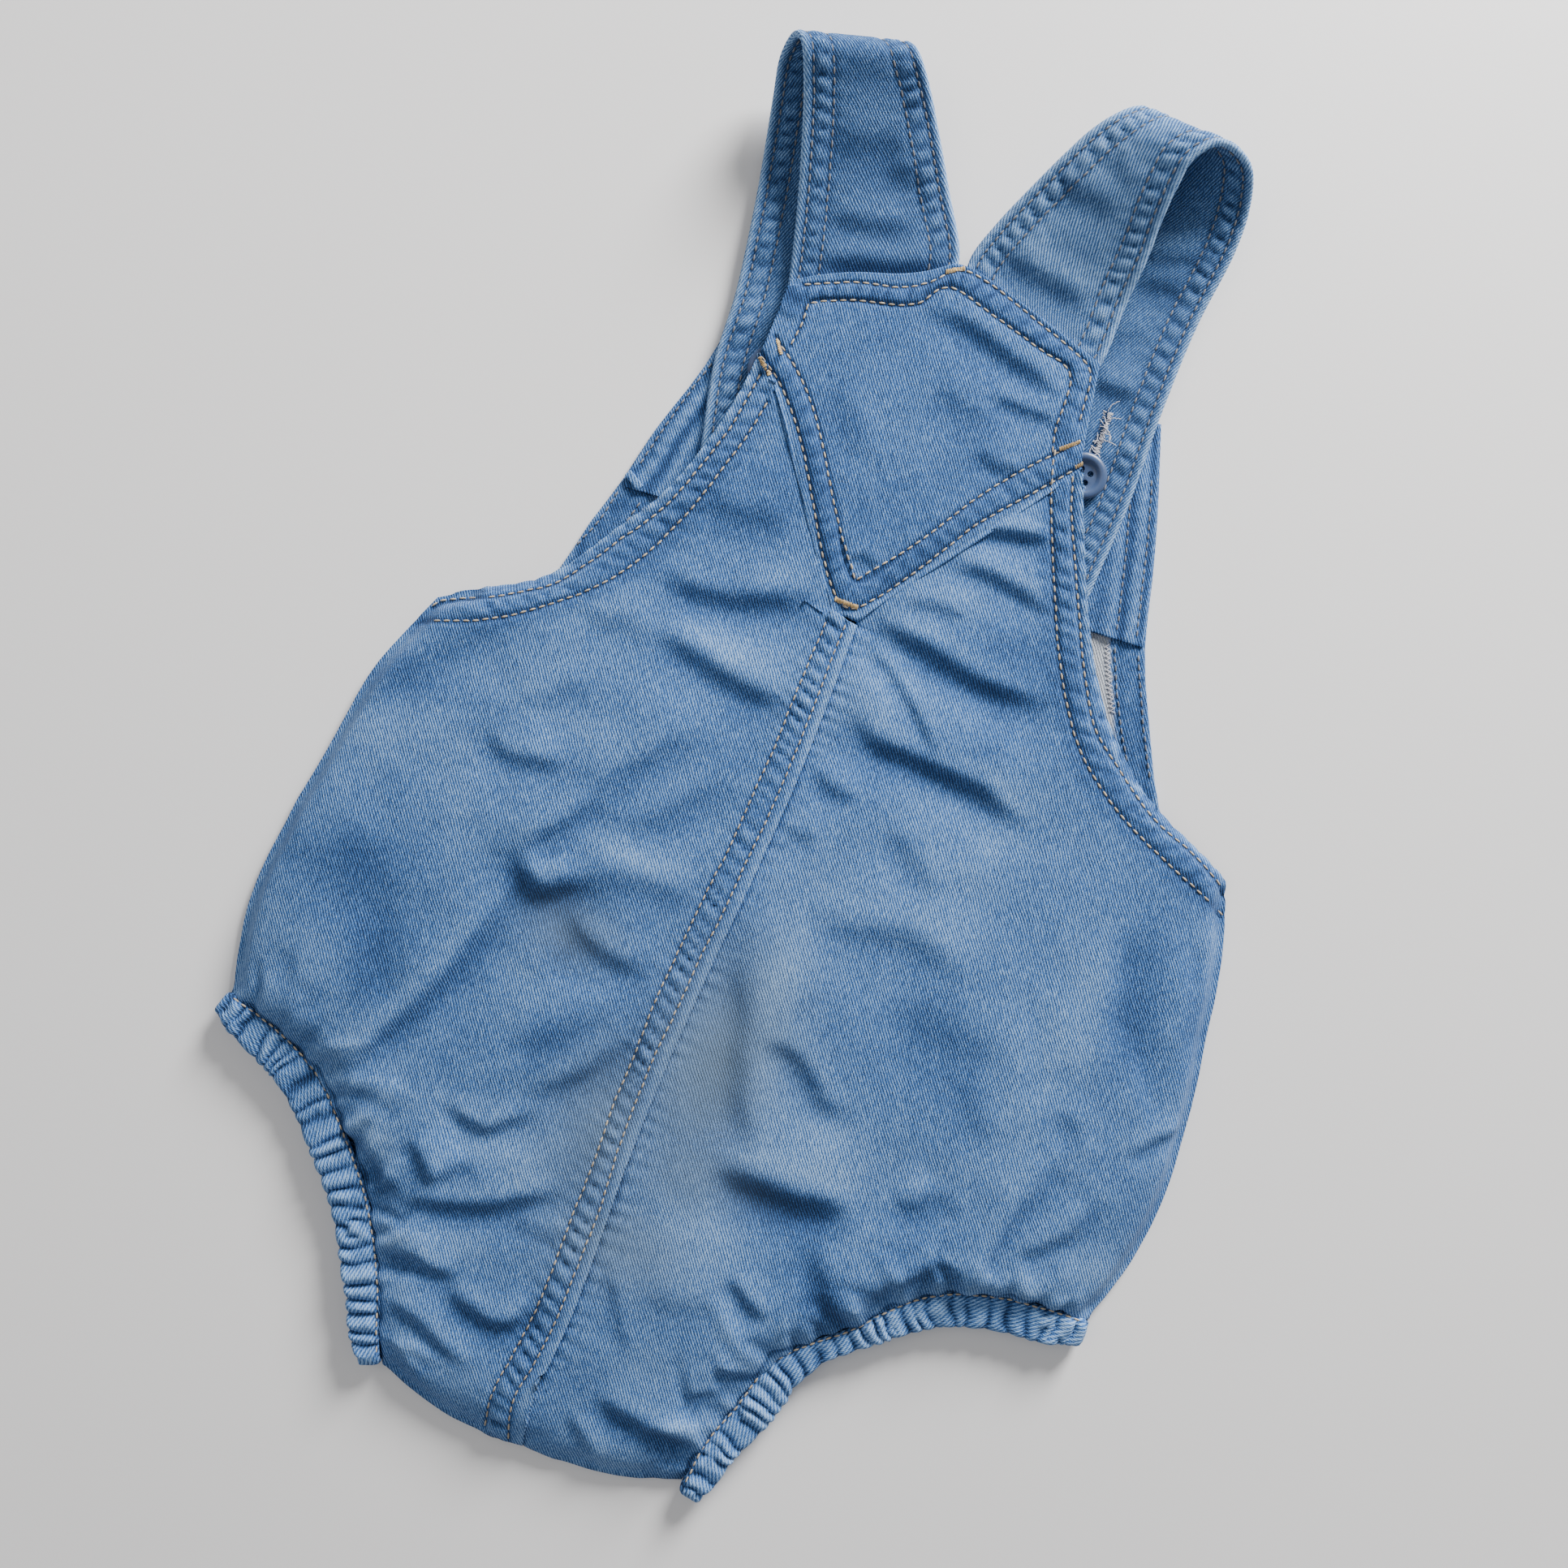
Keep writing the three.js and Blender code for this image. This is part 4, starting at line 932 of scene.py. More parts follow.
class Strap:
    def __init__(self, node, seed):
        rows = np.array(strapSections[node], float)
        self.folds = strapFolds[node]
        self.pale, self.shade = strapLightAndShade[node]
        self.hole = [np.array(besideThrough(cadTree, *spot, 5)[0])[:2] / mm for spot in buttonholes.get(node, [])]
        self.left = smoothPath(rows[:, :3], 16)
        self.right = smoothPath(rows[:, 3:], 16)
        middle = (self.left + self.right) / 2
        self.lengths = np.concatenate([[0], np.cumsum(np.linalg.norm(np.diff(middle, axis=0), axis=1))])
        self.widths = np.linalg.norm(self.right - self.left, axis=1)
        self.ripples = [Ripple(500, 5.0, seed), Ripple(500, 5.0, seed + 1)]
        self.seed = seed
        ahead = np.gradient(middle, axis=0)
        normal = np.cross(self.right - self.left, ahead)
        self.normals = normal / np.linalg.norm(normal, axis=1)[:, None]

    def sample(self, table, along):
        return np.stack([np.interp(along, self.lengths, table[:, k]) for k in range(3)], axis=1)

    def middle(self, across, along):
        # points of the strap's middle layer; across is 0 at the left edge and 1 at the right one
        left, right = self.sample(self.left, along), self.sample(self.right, along)
        return left + (right - left) * across[:, None], self.sample(self.normals, along)

    def relief(self, across, along):
        # own height of each side, and the masks of its worn edges, painted highlight on the puckers and painted shade
        # in the dips and along the stitches
        width = np.interp(along, self.lengths, self.widths)
        height, wear, deep = np.zeros(len(across)), np.zeros(len(across)), np.zeros(len(across))
        near, far = strapLook["stitchLines"]
        for k, off in enumerate((across * width, (1 - across) * width)):
            wave = self.ripples[k].at(along + off * 0.35)
            between = smoothStep(near + 0.3, near + 2, off) * smoothStep(far - 0.3, far - 2, off)
            height += between * strapLook["pucker"] * wave
            height += 0.12 * wave * bell(off - 1.4, 1.0)
            height -= strapLook["groove"] * (bell(off - near, 0.7) + bell(off - far, 0.75))
            wear += 1.1 * bell(off, 1.4) + between * 0.5 * np.clip(wave, 0, 1)
            deep += between * (0.15 + 0.7 * np.clip(-wave, 0, 1))
            deep += 0.5 * (bell(off - near, 0.7) + bell(off - far, 0.7))
            height += 0.14 * wave * bell(off - far - 2.5, 2.2)
        return height, wear, deep

    def surface(self, across, along, side):
        width = np.interp(along, self.lengths, self.widths)
        off = np.minimum(across, 1 - across) * width
        inset = np.clip(1 - off / strapLook["edgeRound"], 0, 1)
        half = strapLook["half"] * np.sqrt(1 - inset ** 2 * 0.97)
        middle, normal = self.middle(across, along)
        height, wear, deep = self.relief(across, along)
        soft = np.array([noise.noise(Vector((a * w / 14, b / 22, self.seed))) for a, w, b in zip(across, width, along)])
        sway = soft * 0.7 * smoothStep(6, 40, along)
        for rows, facing in zip(self.folds, (1, -1)):
            softer = [(points, rise * 0.85, spread * 1.45) for points, rise, spread in rows]
            fold, foldHighlight, foldShade = folded(middle[:, :2], softer)
            onRun = smoothStep(0.2, 0.6, facing * normal[:, 2])
            sway += facing * fold * onRun
            wear, deep = wear + foldHighlight * onRun, deep + foldShade * onRun
        # painted light and painted shade on the upper run, painted shade on the lower run
        onTop = smoothStep(-0.3, 0.3, normal[:, 2])
        wear, deep = wear + self.pale * onTop, deep + self.shade * onTop + 0.12 * (1 - onTop)
        # painted shade in the buttonhole slit
        if self.hole:
            toHole, _, _ = besidePath(middle[:, :2], self.hole)
            inHole = bell(toHole, 0.8) * smoothStep(0.2, 0.6, -normal[:, 2])
            height, deep = height - 0.6 * inHole, deep + 1.4 * inHole
        return middle + normal * (side * (half + height) + sway)[:, None], wear, deep


def strapPiece(name, node, seed):
    strap = Strap(node, seed)
    total = strap.lengths[-1]
    shape = slab(44, round(total / 1.15))
    u, v, side = slabPlaces(shape)
    # closer together towards both edges
    across = u - np.sin(2 * np.pi * u) * 0.1
    along = v * total
    positions, wear, deep = strap.surface(across, along, side)
    width = np.interp(along, strap.lengths, strap.widths)
    mesh = reshaped(shape, positions, across * width, along, name)
    painted(mesh, wear=wear, deep=deep)
    return dressed(objectFrom(name, mesh, denimStrap), "denim_strap", node), strap


strapLeft, leftStrap = strapPiece("strapLeft", "strap_left", 31)
strapRight, rightStrap = strapPiece("strapRight", "strap_right", 41)
print("straps made,", len(strapLeft.data.polygons), "and", len(strapRight.data.polygons), "faces")


# Elastic casings: flattened rings of gathered denim round the leg openings
casingLook = {"half": 1.45, "backHeight": 5.8, "frontHeight": 1.8, "gap": 0.05, "stitchLine": 0.55}
# the pale amount of each casing is painted light over the whole casing
casings = {
    "leg_casing_left": {
        "name": "casingLeft", "outward": -1, "start": 0.03, "end": 0.98, "gathers": 24, "seed": 51, "pale": 0.0,
        "edge": [(-52, -214.5), (-56, -205), (-61, -191), (-69, -175), (-78, -161.5), (-89, -149), (-102, -136),
                 (-118, -127.5), (-137.5, -122)],
        "widths": [(0, 5), (0.06, 8.5), (0.12, 9.8), (0.25, 11.6), (0.45, 12), (0.7, 12.8), (0.88, 11.6),
                   (0.96, 10), (1, 6)]},
    "leg_casing_right": {
        "name": "casingRight", "outward": 1, "start": 0.005, "end": 0.98, "gathers": 29, "seed": 61, "pale": 0.3,
        "edge": [(48.2, -215.2), (50, -199.5), (55, -185), (59.5, -170), (67, -161), (79, -151), (90, -139),
                 (101, -130.5), (118, -124.5), (133, -122.5), (148.5, -121.5)],
        "widths": [(0, 7), (0.03, 9.6), (0.16, 11.4), (0.27, 12.4), (0.36, 10.2), (0.43, 7.2), (0.49, 7.2),
                   (0.59, 9.8), (0.68, 10.8), (0.9, 11.3), (0.97, 9.5), (1, 6.5)]},
}


class Casing:
    def __init__(self, look):
        self.look = look
        path = evenly(smoothPath(look["edge"], 1.0), 0.5)
        self.length = 0.5 * (len(path) - 1)
        tangents = np.gradient(path, axis=0)
        tangents /= np.linalg.norm(tangents, axis=1)[:, None]
        turn = (casingLook["backHeight"] - casingLook["frontHeight"]) / 2
        middle = (casingLook["backHeight"] + casingLook["frontHeight"]) / 2
        back = np.linspace(look["start"], look["end"], round(self.length / 0.55))
        round1 = np.linspace(0, math.pi, 9)[1:-1]
        front = back[::-3]
        rows = [(u, 0.0, 1.0, casingLook["backHeight"]) for u in back]
        rows += [(look["end"], math.sin(a), math.cos(a), middle + turn * math.cos(a)) for a in round1]
        rows += [(u, 0.0, -1.0, casingLook["frontHeight"]) for u in front]
        rows += [(look["start"], -math.sin(a), -math.cos(a), middle - turn * math.cos(a)) for a in round1]
        rows = np.array(rows)
        u, lean, rise, z = rows.T
        spots = np.linspace(0, 1, len(path))
        at = lambda table: np.stack([np.interp(u, spots, table[:, k]) for k in (0, 1)], axis=1)
        tangent = at(tangents)
        across = np.stack([tangent[:, 1], -tangent[:, 0]], axis=1) * look["outward"]
        widths = np.array(look["widths"])
        self.half = np.interp(u, widths[:, 0], widths[:, 1]) / 2
        centre = at(path) + across * (self.half + casingLook["gap"] + 0.1)[:, None]
        centre += tangent * (lean * turn)[:, None]
        self.centre = np.column_stack([centre, z])
        self.across = np.column_stack([across, np.zeros(len(rows))])
        self.thin = np.column_stack([tangent * lean[:, None], rise])
        gaps = np.linalg.norm(np.diff(self.centre, axis=0), axis=1)
        self.along = np.concatenate([[0], np.cumsum(gaps)])
        self.backLength = self.along[len(back) - 1]
        pitch = self.backLength / look["gathers"]
        self.pleats = Ripple(self.along[-1] + 20, pitch, look["seed"], 0.5)
        self.crossing = Ripple(self.along[-1] + 20, pitch * 1.15, look["seed"] + 5, 0.5)
        self.slants = random.Random(look["seed"] + 1).uniform(-0.2, 0.2)

    def surface(self, u, row, side):
        # u is 0 at the seam and 1 at the free edge
        along = self.along[row]
        sway = np.array([noise.noise(Vector((a / 11, w * 1.3, self.look["seed"]))) for a, w in zip(along, u)])
        puff = self.pleats.puff(along + sway * 4.2 * u)
        second = self.crossing.puff(along + 9 - sway * 5.0 * u)
        share = smoothStep(0.1, 0.45, sway * np.cos(along / 9 + 4 * u))
        puff = puff * (1 - share) + second * share
        fine = np.array([noise.noise(Vector((a / 2.2, w * 2.5, self.look["seed"] + 7))) for a, w in zip(along, u)])
        onBack = smoothStep(self.backLength + 6, self.backLength, along)
        patchy = np.array([noise.noise(Vector((a / 7, w * 1.7, self.look["seed"] + 3))) for a, w in zip(along, u)])
        depth = (0.5 + 0.5 * smoothStep(0.0, 0.2, u)) * np.clip(1 + patchy * 0.9, 0.35, 1.5)
        strength = 0.45 + 0.55 * onBack
        offset = np.clip(np.abs(2 * u - 1), 0, 1)
        half = casingLook["half"] * np.sqrt(np.clip(1 - offset ** 7, 0.03, 1))
        swell = (puff - 0.62) * 1.7 * depth * strength * (1 - offset ** 8) + fine * 0.12
        toStitch = u * 2 * self.half[row] - casingLook["stitchLine"]
        swell -= 0.3 * bell(toStitch, 0.6)
        half = half + np.where(side > 0, np.maximum(swell, -1.1), np.clip(swell * 0.3, -0.3, 0.0))
        reach = self.half[row] * (2 * u - 1) + (puff - 0.6) * 0.8 * u ** 2 * strength
        places = self.centre[row] + self.across[row] * reach[:, None] + self.thin[row] * (side * half)[:, None]
        low = np.where(self.centre[row][:, 2] < 4, 0.3, -1)
        places[:, 2] = np.maximum(places[:, 2], low)
        # worn pale free edge, painted highlight on the pleat crests and the casing's pale amount of painted light;
        # painted shade in the pleat dips and along the stitches
        wear = np.clip(puff - 0.6, 0, 0.7) * 0.8 * depth + 0.25 * bell(1 - u, 0.06) + self.look["pale"]
        deep = np.clip(0.62 - puff, 0, 1) * 1.9 * depth + 0.6 * bell(toStitch, 0.6)
        return places, wear, deep


def casingPiece(node, look):
    casing = Casing(look)
    count = len(casing.along)
    shape = slab(13, count)
    u, v, side = slabPlaces(shape)
    row = np.round(v * count).astype(int) % count
    u = u - np.sin(2 * np.pi * u) * 0.06
    positions, wear, deep = casing.surface(u, row, side)
    # open the slab's two ends and join them to a ring
    ends = [face for face in shape.faces if abs(face.normal.y) > 0.5]
    bmesh.ops.delete(shape, geom=ends, context="FACES_ONLY")
    along = np.where(v > 0.9999, casing.along[-1] + 0.5, casing.along[row])
    for name, values in (("wear", wear), ("deep", deep)):
        layer = shape.verts.layers.float.new(name)
        for vertex, value in zip(shape.verts, np.clip(values, 0, 1)):
            vertex[layer] = value
    for name in ("patch", "bare"):
        shape.verts.layers.float.new(name)
    layer = shape.loops.layers.uv.new("cloth")
    shape.verts.index_update()
    for face in shape.faces:
        for loop in face.loops:
            k = loop.vert.index
            loop[layer].uv = (u[k] * 2 * casing.half[row[k]] * mm, along[k] * mm)
    for vertex, place in zip(shape.verts, positions * mm):
        vertex.co = place
    bmesh.ops.remove_doubles(shape, verts=shape.verts, dist=1e-6)
    bmesh.ops.recalc_face_normals(shape, faces=shape.faces[:])
    piece = objectFrom(look["name"], meshFrom(shape, look["name"]), denimCasing)
    return dressed(piece, "denim_casing", node), casing


casingLeft, leftRing = casingPiece("leg_casing_left", casings["leg_casing_left"])
casingRight, rightRing = casingPiece("leg_casing_right", casings["leg_casing_right"])
print("casings made,", len(casingLeft.data.polygons), "and", len(casingRight.data.polygons), "faces")


# Front of the body with its bib, lying on the table, and the facing inside the bib
frontLook = {"cell": 2.6, "edge": 0.45, "hem": 11.4}
frontLines = {
    "rightArmEdge": [(1431, 527), (1431, 553), (1428, 623), (1422, 703), (1415, 767), (1412, 800), (1414, 846),
                     (1417, 897), (1425, 985), (1430, 1000)],
    "leftArmEdge": [(884, 431), (863, 457), (835, 490), (806, 530), (783, 568), (768, 584), (765, 599),
                    (749, 620), (731, 639), (720, 651), (690, 703)],
}
frontEdges = {name: np.array([np.array(eye + rayThrough(x, y) * ((0.0012 - eye.z) / rayThrough(x, y).z)) / mm
                              for x, y in smoothPath(points, 5.0)])
              for name, points in frontLines.items()}


def platePiece(name, node, material, cell, edge):
    # copy of a flat solid with rounded rims, divided finely enough to be creased
    shape = bmesh.new()
    shape.from_mesh(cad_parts[node].data)
    bmesh.ops.remove_doubles(shape, verts=shape.verts, dist=1e-6)
    bmesh.ops.dissolve_limit(shape, angle_limit=0.01, verts=shape.verts[:], edges=shape.edges[:])
    rims = [e for e in shape.edges if len(e.link_faces) == 2 and e.calc_face_angle() > 1.2
            and abs(e.verts[0].co.z - e.verts[1].co.z) < 1e-5]
    bmesh.ops.bevel(shape, geom=rims, offset=edge * mm, offset_type="OFFSET", segments=3, profile=0.5,
                    affect="EDGES", material=-1, clamp_overlap=True)
    low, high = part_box(node)
    for axis, normal in ((0, (1, 0, 0)), (1, (0, 1, 0))):
        at = low[axis] + cell * mm
        while at < high[axis]:
            point = [0, 0, 0]
            point[axis] = at
            bmesh.ops.bisect_plane(shape, geom=shape.verts[:] + shape.edges[:] + shape.faces[:], dist=1e-6,
                                   plane_co=point, plane_no=normal)
            at += cell * mm
    mesh = meshFrom(shape, name)
    return mesh, placesOf(mesh), material


mesh, places, _ = platePiece("frontPanel", "front_panel", denimInside, frontLook["cell"], frontLook["edge"])
upper = places[:, 2] > 0.8
under = places[:, 2] < 0.1
ground = places[:, :2]
height = np.zeros(len(places))
wear, deep = np.zeros(len(places)), np.zeros(len(places))
for k, edge in enumerate(frontEdges.values()):
    off, along, _ = besidePath(ground, flat(edge))
    wave = Ripple(400, 5.4, 71 + k).at(along)
    band = smoothStep(10, 8.5, off)
    height += upper * band * (0.35 + 0.2 * wave * bell(off - 6, 3.5))
    # painted shade in the hem's dips and along its stitches, worn pale edge
    deep += band * (0.3 + 0.4 * np.clip(-wave, 0, 1)) + 0.5 * (bell(off - 2.2, 0.8) + bell(off - 9.4, 0.8))
    wear += 0.6 * bell(off, 1.0)
crumple = unevenAt(places, 30, 81)
# shallow creases in the side that lies on the table, which stays flat where it touches
height += under * np.clip(crumple * 0.5 - 0.08, 0, 0.45)
wear += under * np.clip(-crumple * 0.5, 0, 0.5)
deep += under * np.clip(crumple * 0.6, 0, 0.5)
movedTo(mesh, places + np.stack([0 * height, 0 * height, height], axis=1))
toHem = np.min([besidePath(ground, flat(edge))[0] for edge in frontEdges.values()], axis=0)
bare = upper * smoothStep(frontLook["hem"] - 0.8, frontLook["hem"] + 0.8, toHem) * smoothStep(0, 10, ground[:, 1])
painted(mesh, wear=wear, deep=deep, bare=bare)
frontPanel = objectFrom("frontPanel", mesh, denimInside)
dressed(frontPanel, "denim_inside", "front_panel")

mesh, places, _ = platePiece("bibFacing", "bib_facing", denim, 1.2, 0.35)
ground = places[:, :2]
height = np.zeros(len(places))
wear, deep = np.zeros(len(places)), np.full(len(places), 0.15)
upper = places[:, 2] > 2.0
for k, edge in enumerate(frontEdges.values()):
    off, along, _ = besidePath(ground, flat(edge))
    wave = Ripple(400, 5.2, 75 + k).at(along)
    pleat = bell(off - 5.4, 1.8) + bell(off - 12, 2.2)
    height += upper * (0.5 * pleat + 0.15 * wave * bell(off - 6, 3.0) - 0.3 * (bell(off - 2.6, 0.8) + bell(off - 8.8, 1.0)))
    # worn pale edge and painted highlight on the pleats, painted shade along the stitches and folds
    wear += 0.7 * bell(off, 1.1) + 0.3 * pleat
    deep += 0.9 * bell(off - 8.8, 1.2) + 0.7 * bell(off - 2.6, 0.8) + 0.3 * bell(off - 16, 2.0)
movedTo(mesh, places + np.stack([0 * height, 0 * height, height], axis=1))
painted(mesh, wear=wear, deep=deep)
bibFacing = dressed(objectFrom("bibFacing", mesh, denim), "denim", "bib_facing")
print("front and facing made,", len(frontPanel.data.polygons), "and", len(bibFacing.data.polygons), "faces")


# Buttons: turned discs with a raised rim, a dished middle and four holes
buttonLook = {
    "bottom": 5.7, "profile": [(0, 0.1), (6.3, 0.0), (7.1, 0.35), (7.45, 1.1), (7.3, 1.9), (6.7, 2.4), (5.7, 2.5),
                               (4.9, 2.2), (4.3, 1.55), (3.7, 1.3), (0, 1.25)],
    "holeReach": 2.25, "holeRadius": 0.95, "turn": 0.585,
}


def buttonPiece(name, node, x, y):
    shape = bmesh.new()
    path = [shape.verts.new((r * mm, 0, z * mm)) for r, z in buttonLook["profile"]]
    for a, b in zip(path[:-1], path[1:]):
        shape.edges.new((a, b))
    bmesh.ops.spin(shape, geom=shape.verts[:] + shape.edges[:], cent=(0, 0, 0), axis=(0, 0, 1),
                   angle=2 * math.pi, steps=56, use_merge=True)
    bmesh.ops.remove_doubles(shape, verts=shape.verts, dist=1e-6)
    bmesh.ops.recalc_face_normals(shape, faces=shape.faces[:])
    bmesh.ops.translate(shape, verts=shape.verts, vec=(x * mm, y * mm, buttonLook["bottom"] * mm))
    piece = objectFrom(name, meshFrom(shape, name), buttonPlastic)
    drills = bmesh.new()
    for k in range(4):
        angle = buttonLook["turn"] + math.pi / 2 * k
        spot = Matrix.Translation(((x + buttonLook["holeReach"] * math.cos(angle)) * mm,
                                   (y + buttonLook["holeReach"] * math.sin(angle)) * mm, 7 * mm))
        bmesh.ops.create_cone(drills, cap_ends=True, segments=20, radius1=buttonLook["holeRadius"] * mm,
                              radius2=buttonLook["holeRadius"] * mm, depth=6 * mm, matrix=spot)
    drill = objectFrom(name + "Drill", meshFrom(drills, name + "Drill"))
    cut = piece.modifiers.new("holes", "BOOLEAN")
    cut.operation, cut.solver, cut.object = "DIFFERENCE", "EXACT", drill
    bpy.context.view_layer.update()
    graph = bpy.context.evaluated_depsgraph_get()
    finished = bpy.data.meshes.new_from_object(piece.evaluated_get(graph), depsgraph=graph)
    finished.name = name
    bpy.data.objects.remove(piece)
    bpy.data.objects.remove(drill)
    piece = objectFrom(name, finished)
    edge = piece.modifiers.new("edges", "BEVEL")
    edge.width, edge.segments, edge.limit_method, edge.angle_limit = 0.12 * mm, 2, "ANGLE", math.radians(50)
    return dressed(piece, "button", node)


buttonPlaces = {"button_left": (-49.8, 118.6), "button_right": (52.4, 122.5)}
buttonLeft = buttonPiece("buttonLeft", "button_left", *buttonPlaces["button_left"])
buttonRight = buttonPiece("buttonRight", "button_right", *buttonPlaces["button_right"])
print("buttons made,", len(buttonLeft.data.polygons), "faces each")


# Sewing: every stitch is a small rounded bead of thread that lies on the cloth
def stitchTemplate():
    shape = bmesh.new()
    bmesh.ops.create_uvsphere(shape, u_segments=6, v_segments=5, radius=1)
    bmesh.ops.rotate(shape, verts=shape.verts, matrix=Matrix.Rotation(math.pi / 2, 3, "Y"))
    return meshFrom(shape, "stitch")


oneStitch = stitchTemplate()


def addStitch(shape, middle, ahead, up, length, radius):
    # one stitch at a place, in millimetres
    ahead = Vector(ahead).normalized()
    up = (Vector(up) - ahead * Vector(up).dot(ahead)).normalized()
    side = up.cross(ahead)
    turned = Matrix((ahead * length / 2, side * radius, up * radius * 0.8)).transposed() * mm
    first = len(shape.verts)
    shape.from_mesh(oneStitch)
    shape.verts.ensure_lookup_table()
    bmesh.ops.transform(shape, matrix=turned.to_4x4(), verts=shape.verts[first:])
    bmesh.ops.translate(shape, verts=shape.verts[first:], vec=Vector(middle) * mm)


def sewAlong(shape, path, normals, look, dice):
    # stitches along a path of points with the surface's normals there
    for a, b, up in zip(path[:-1], path[1:], normals):
        middle, ahead = (a + b) / 2, b - a
        gap = np.linalg.norm(ahead)
        if gap > look["pitch"] * 2:
            continue
        sideways = np.cross(up, ahead / gap)
        middle = middle + sideways * dice.uniform(-0.1, 0.1) + up * look["lift"]
        addStitch(shape, middle, ahead + sideways * dice.uniform(-0.12, 0.12), up,
                  gap * look["fill"], look["radius"])


def projected(tree, path, pitch):
    # evenly spaced points of a path of the photograph on the finished surface, with their normals
    points, normals = [], []
    for x, y in evenly(smoothPath(path, 3.0), pitch / mm * mm * 4.0):
        place, normal = castThrough(tree, x, y)
        if place is None:
            continue
        points.append(np.array(place) / mm)
        normals.append(np.array(normal) * (1 if normal.z > 0 else -1))
    return points, normals


stitchLook = {"pitch": 3.0, "fill": 0.7, "radius": 0.33, "lift": 0.2}
fineStitch = {"pitch": 2.7, "fill": 0.72, "radius": 0.3, "lift": 0.18}


# corners where a line of stitches turns sharply: the line is sewn up to each of them and on from it
corners = [(1054, 715), (997, 373)]


def upToCorners(path):
    parts, start = [], 0
    for k, point in enumerate(path):
        if point in corners:
            parts.append(path[start:k + 1])
            start = k
    return parts + [path[start:]]


def sewnPiece(name, material, tree, paths, look, seed):
    shape, dice = bmesh.new(), random.Random(seed)
    for path in [part for path in paths for part in upToCorners(path)]:
        points, normals = projected(tree, path, look["pitch"])
        sewAlong(shape, points, normals, look, dice)
    piece = objectFrom(name, meshFrom(shape, name), material)
    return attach(piece, "root")


backTree = treeOf(backLeft, backRight, backYoke)
seamThread = sewnPiece("seamThread", tanThread, backTree,
                       [lines["seamRight"], lines["seamLeft"]], fineStitch, 101)
topThread = sewnPiece("topThread", tanThread, backTree, [
    lines[name] for name in ("leftArmOuter", "leftArmInner", "rightArmOuter", "rightArmInner", "vOuter", "vInner",
                             "topOuter", "topInner")], stitchLook, 102)


def sewnOnStrap(name, strap, material, seed):
    # both lines of stitches along both edges, on both sides
    shape, dice = bmesh.new(), random.Random(seed)
    total = strap.lengths[-1]
    along = np.arange(4.0, total - 2.0, 2.9)
    width = np.interp(along, strap.lengths, strap.widths)
    for off in strapLook["stitchLines"]:
        for across in (off / width, 1 - off / width):
            for side in (1.0, -1.0):
                points, _, _ = strap.surface(across, along, np.full(len(along), side))
                _, normals = strap.middle(across, along)
                sewAlong(shape, list(points), list(normals * side), fineStitch, dice)
    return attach(objectFrom(name, meshFrom(shape, name), material), "root")


strapThreadLeft = sewnOnStrap("strapThreadLeft", leftStrap, greyThread, 103)
strapThreadRight = sewnOnStrap("strapThreadRight", rightStrap, greyThread, 104)


def sewnOnCasing(name, ring, seed):
    shape, dice = bmesh.new(), random.Random(seed)
    row = np.arange(2, len(ring.along) - 2, 5)
    u = casingLook["stitchLine"] / (2 * ring.half[row])
    points, _, _ = ring.surface(u, row, np.ones(len(row)))
    sewAlong(shape, list(points), list(ring.thin[row]), {**stitchLook, "pitch": 4}, dice)
    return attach(objectFrom(name, meshFrom(shape, name), tanThread), "root")


casingThreadLeft = sewnOnCasing("casingThreadLeft", leftRing, 105)
casingThreadRight = sewnOnCasing("casingThreadRight", rightRing, 106)
print("stitches sewn")


# Bar tacks: short rows of close thread where the seams end
def rowAcross(tree, start, end, pitch):
    # places between two places of the photograph on the surface, with directions along, across and up
    spots = [np.array(start) + (np.array(end) - np.array(start)) * share
             for share in np.linspace(0, 1, max(4, round(math.dist(start, end) * 0.25 / pitch)))]
    hits = [besideThrough(tree, *spot, 11) for spot in spots]
    ahead = np.array(hits[-1][0] - hits[0][0])
    ahead /= np.linalg.norm(ahead)
    for place, up in hits:
        up = np.array(up) * (1 if up.z > 0 else -1)
        yield np.array(place) / mm, ahead, np.cross(up, ahead), up


def barTacks(name, tree, tacks, look):
    shape, dice = bmesh.new(), random.Random(look["seed"])
    for start, end, wide in tacks:
        for place, ahead, across, up in rowAcross(tree, start, end, look["pitch"]):
            addStitch(shape, place + up * (look["lift"] + dice.uniform(0, 0.05)), across + ahead * dice.uniform(-0.2, 0.2),
                      up, wide * dice.uniform(0.9, 1.1), look["radius"])
    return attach(objectFrom(name, meshFrom(shape, name), goldThread), "root")


tackLook = {"pitch": 0.45, "radius": 0.3, "lift": 0.3, "seed": 111}
tacks = barTacks("barTacks", backTree, [
    ((1029, 738), (1056, 748), 1.7), ((1166, 335), (1188, 331), 1.6), ((937, 441), (948, 462), 1.7),
    ((957, 420), (962, 436), 1.4), ((1306, 553), (1331, 544), 1.5), ((1325, 575), (1334, 571), 1.5)], tackLook)


# Front and facing: hem stitches, the overcast edge inside the hem and the folded corner of the bib
frontTree = treeOf(frontPanel, bibFacing)
frontThread = sewnPiece("frontThread", greyThread, frontTree, [
    [(1419, 590), (1416, 640), (1410, 700), (1400, 786)], [(1392, 620), (1386, 690), (1376, 778)],
    [(1402, 806), (1405, 850), (1409, 900), (1417, 960)], [(1373, 796), (1376, 850), (1382, 900), (1390, 950)],
    [(878, 446), (839, 498), (812, 536), (788, 573)], [(762, 604), (746, 630), (731, 650), (702, 680)],
    [(790, 618), (770, 645), (748, 668)]], fineStitch, 107)


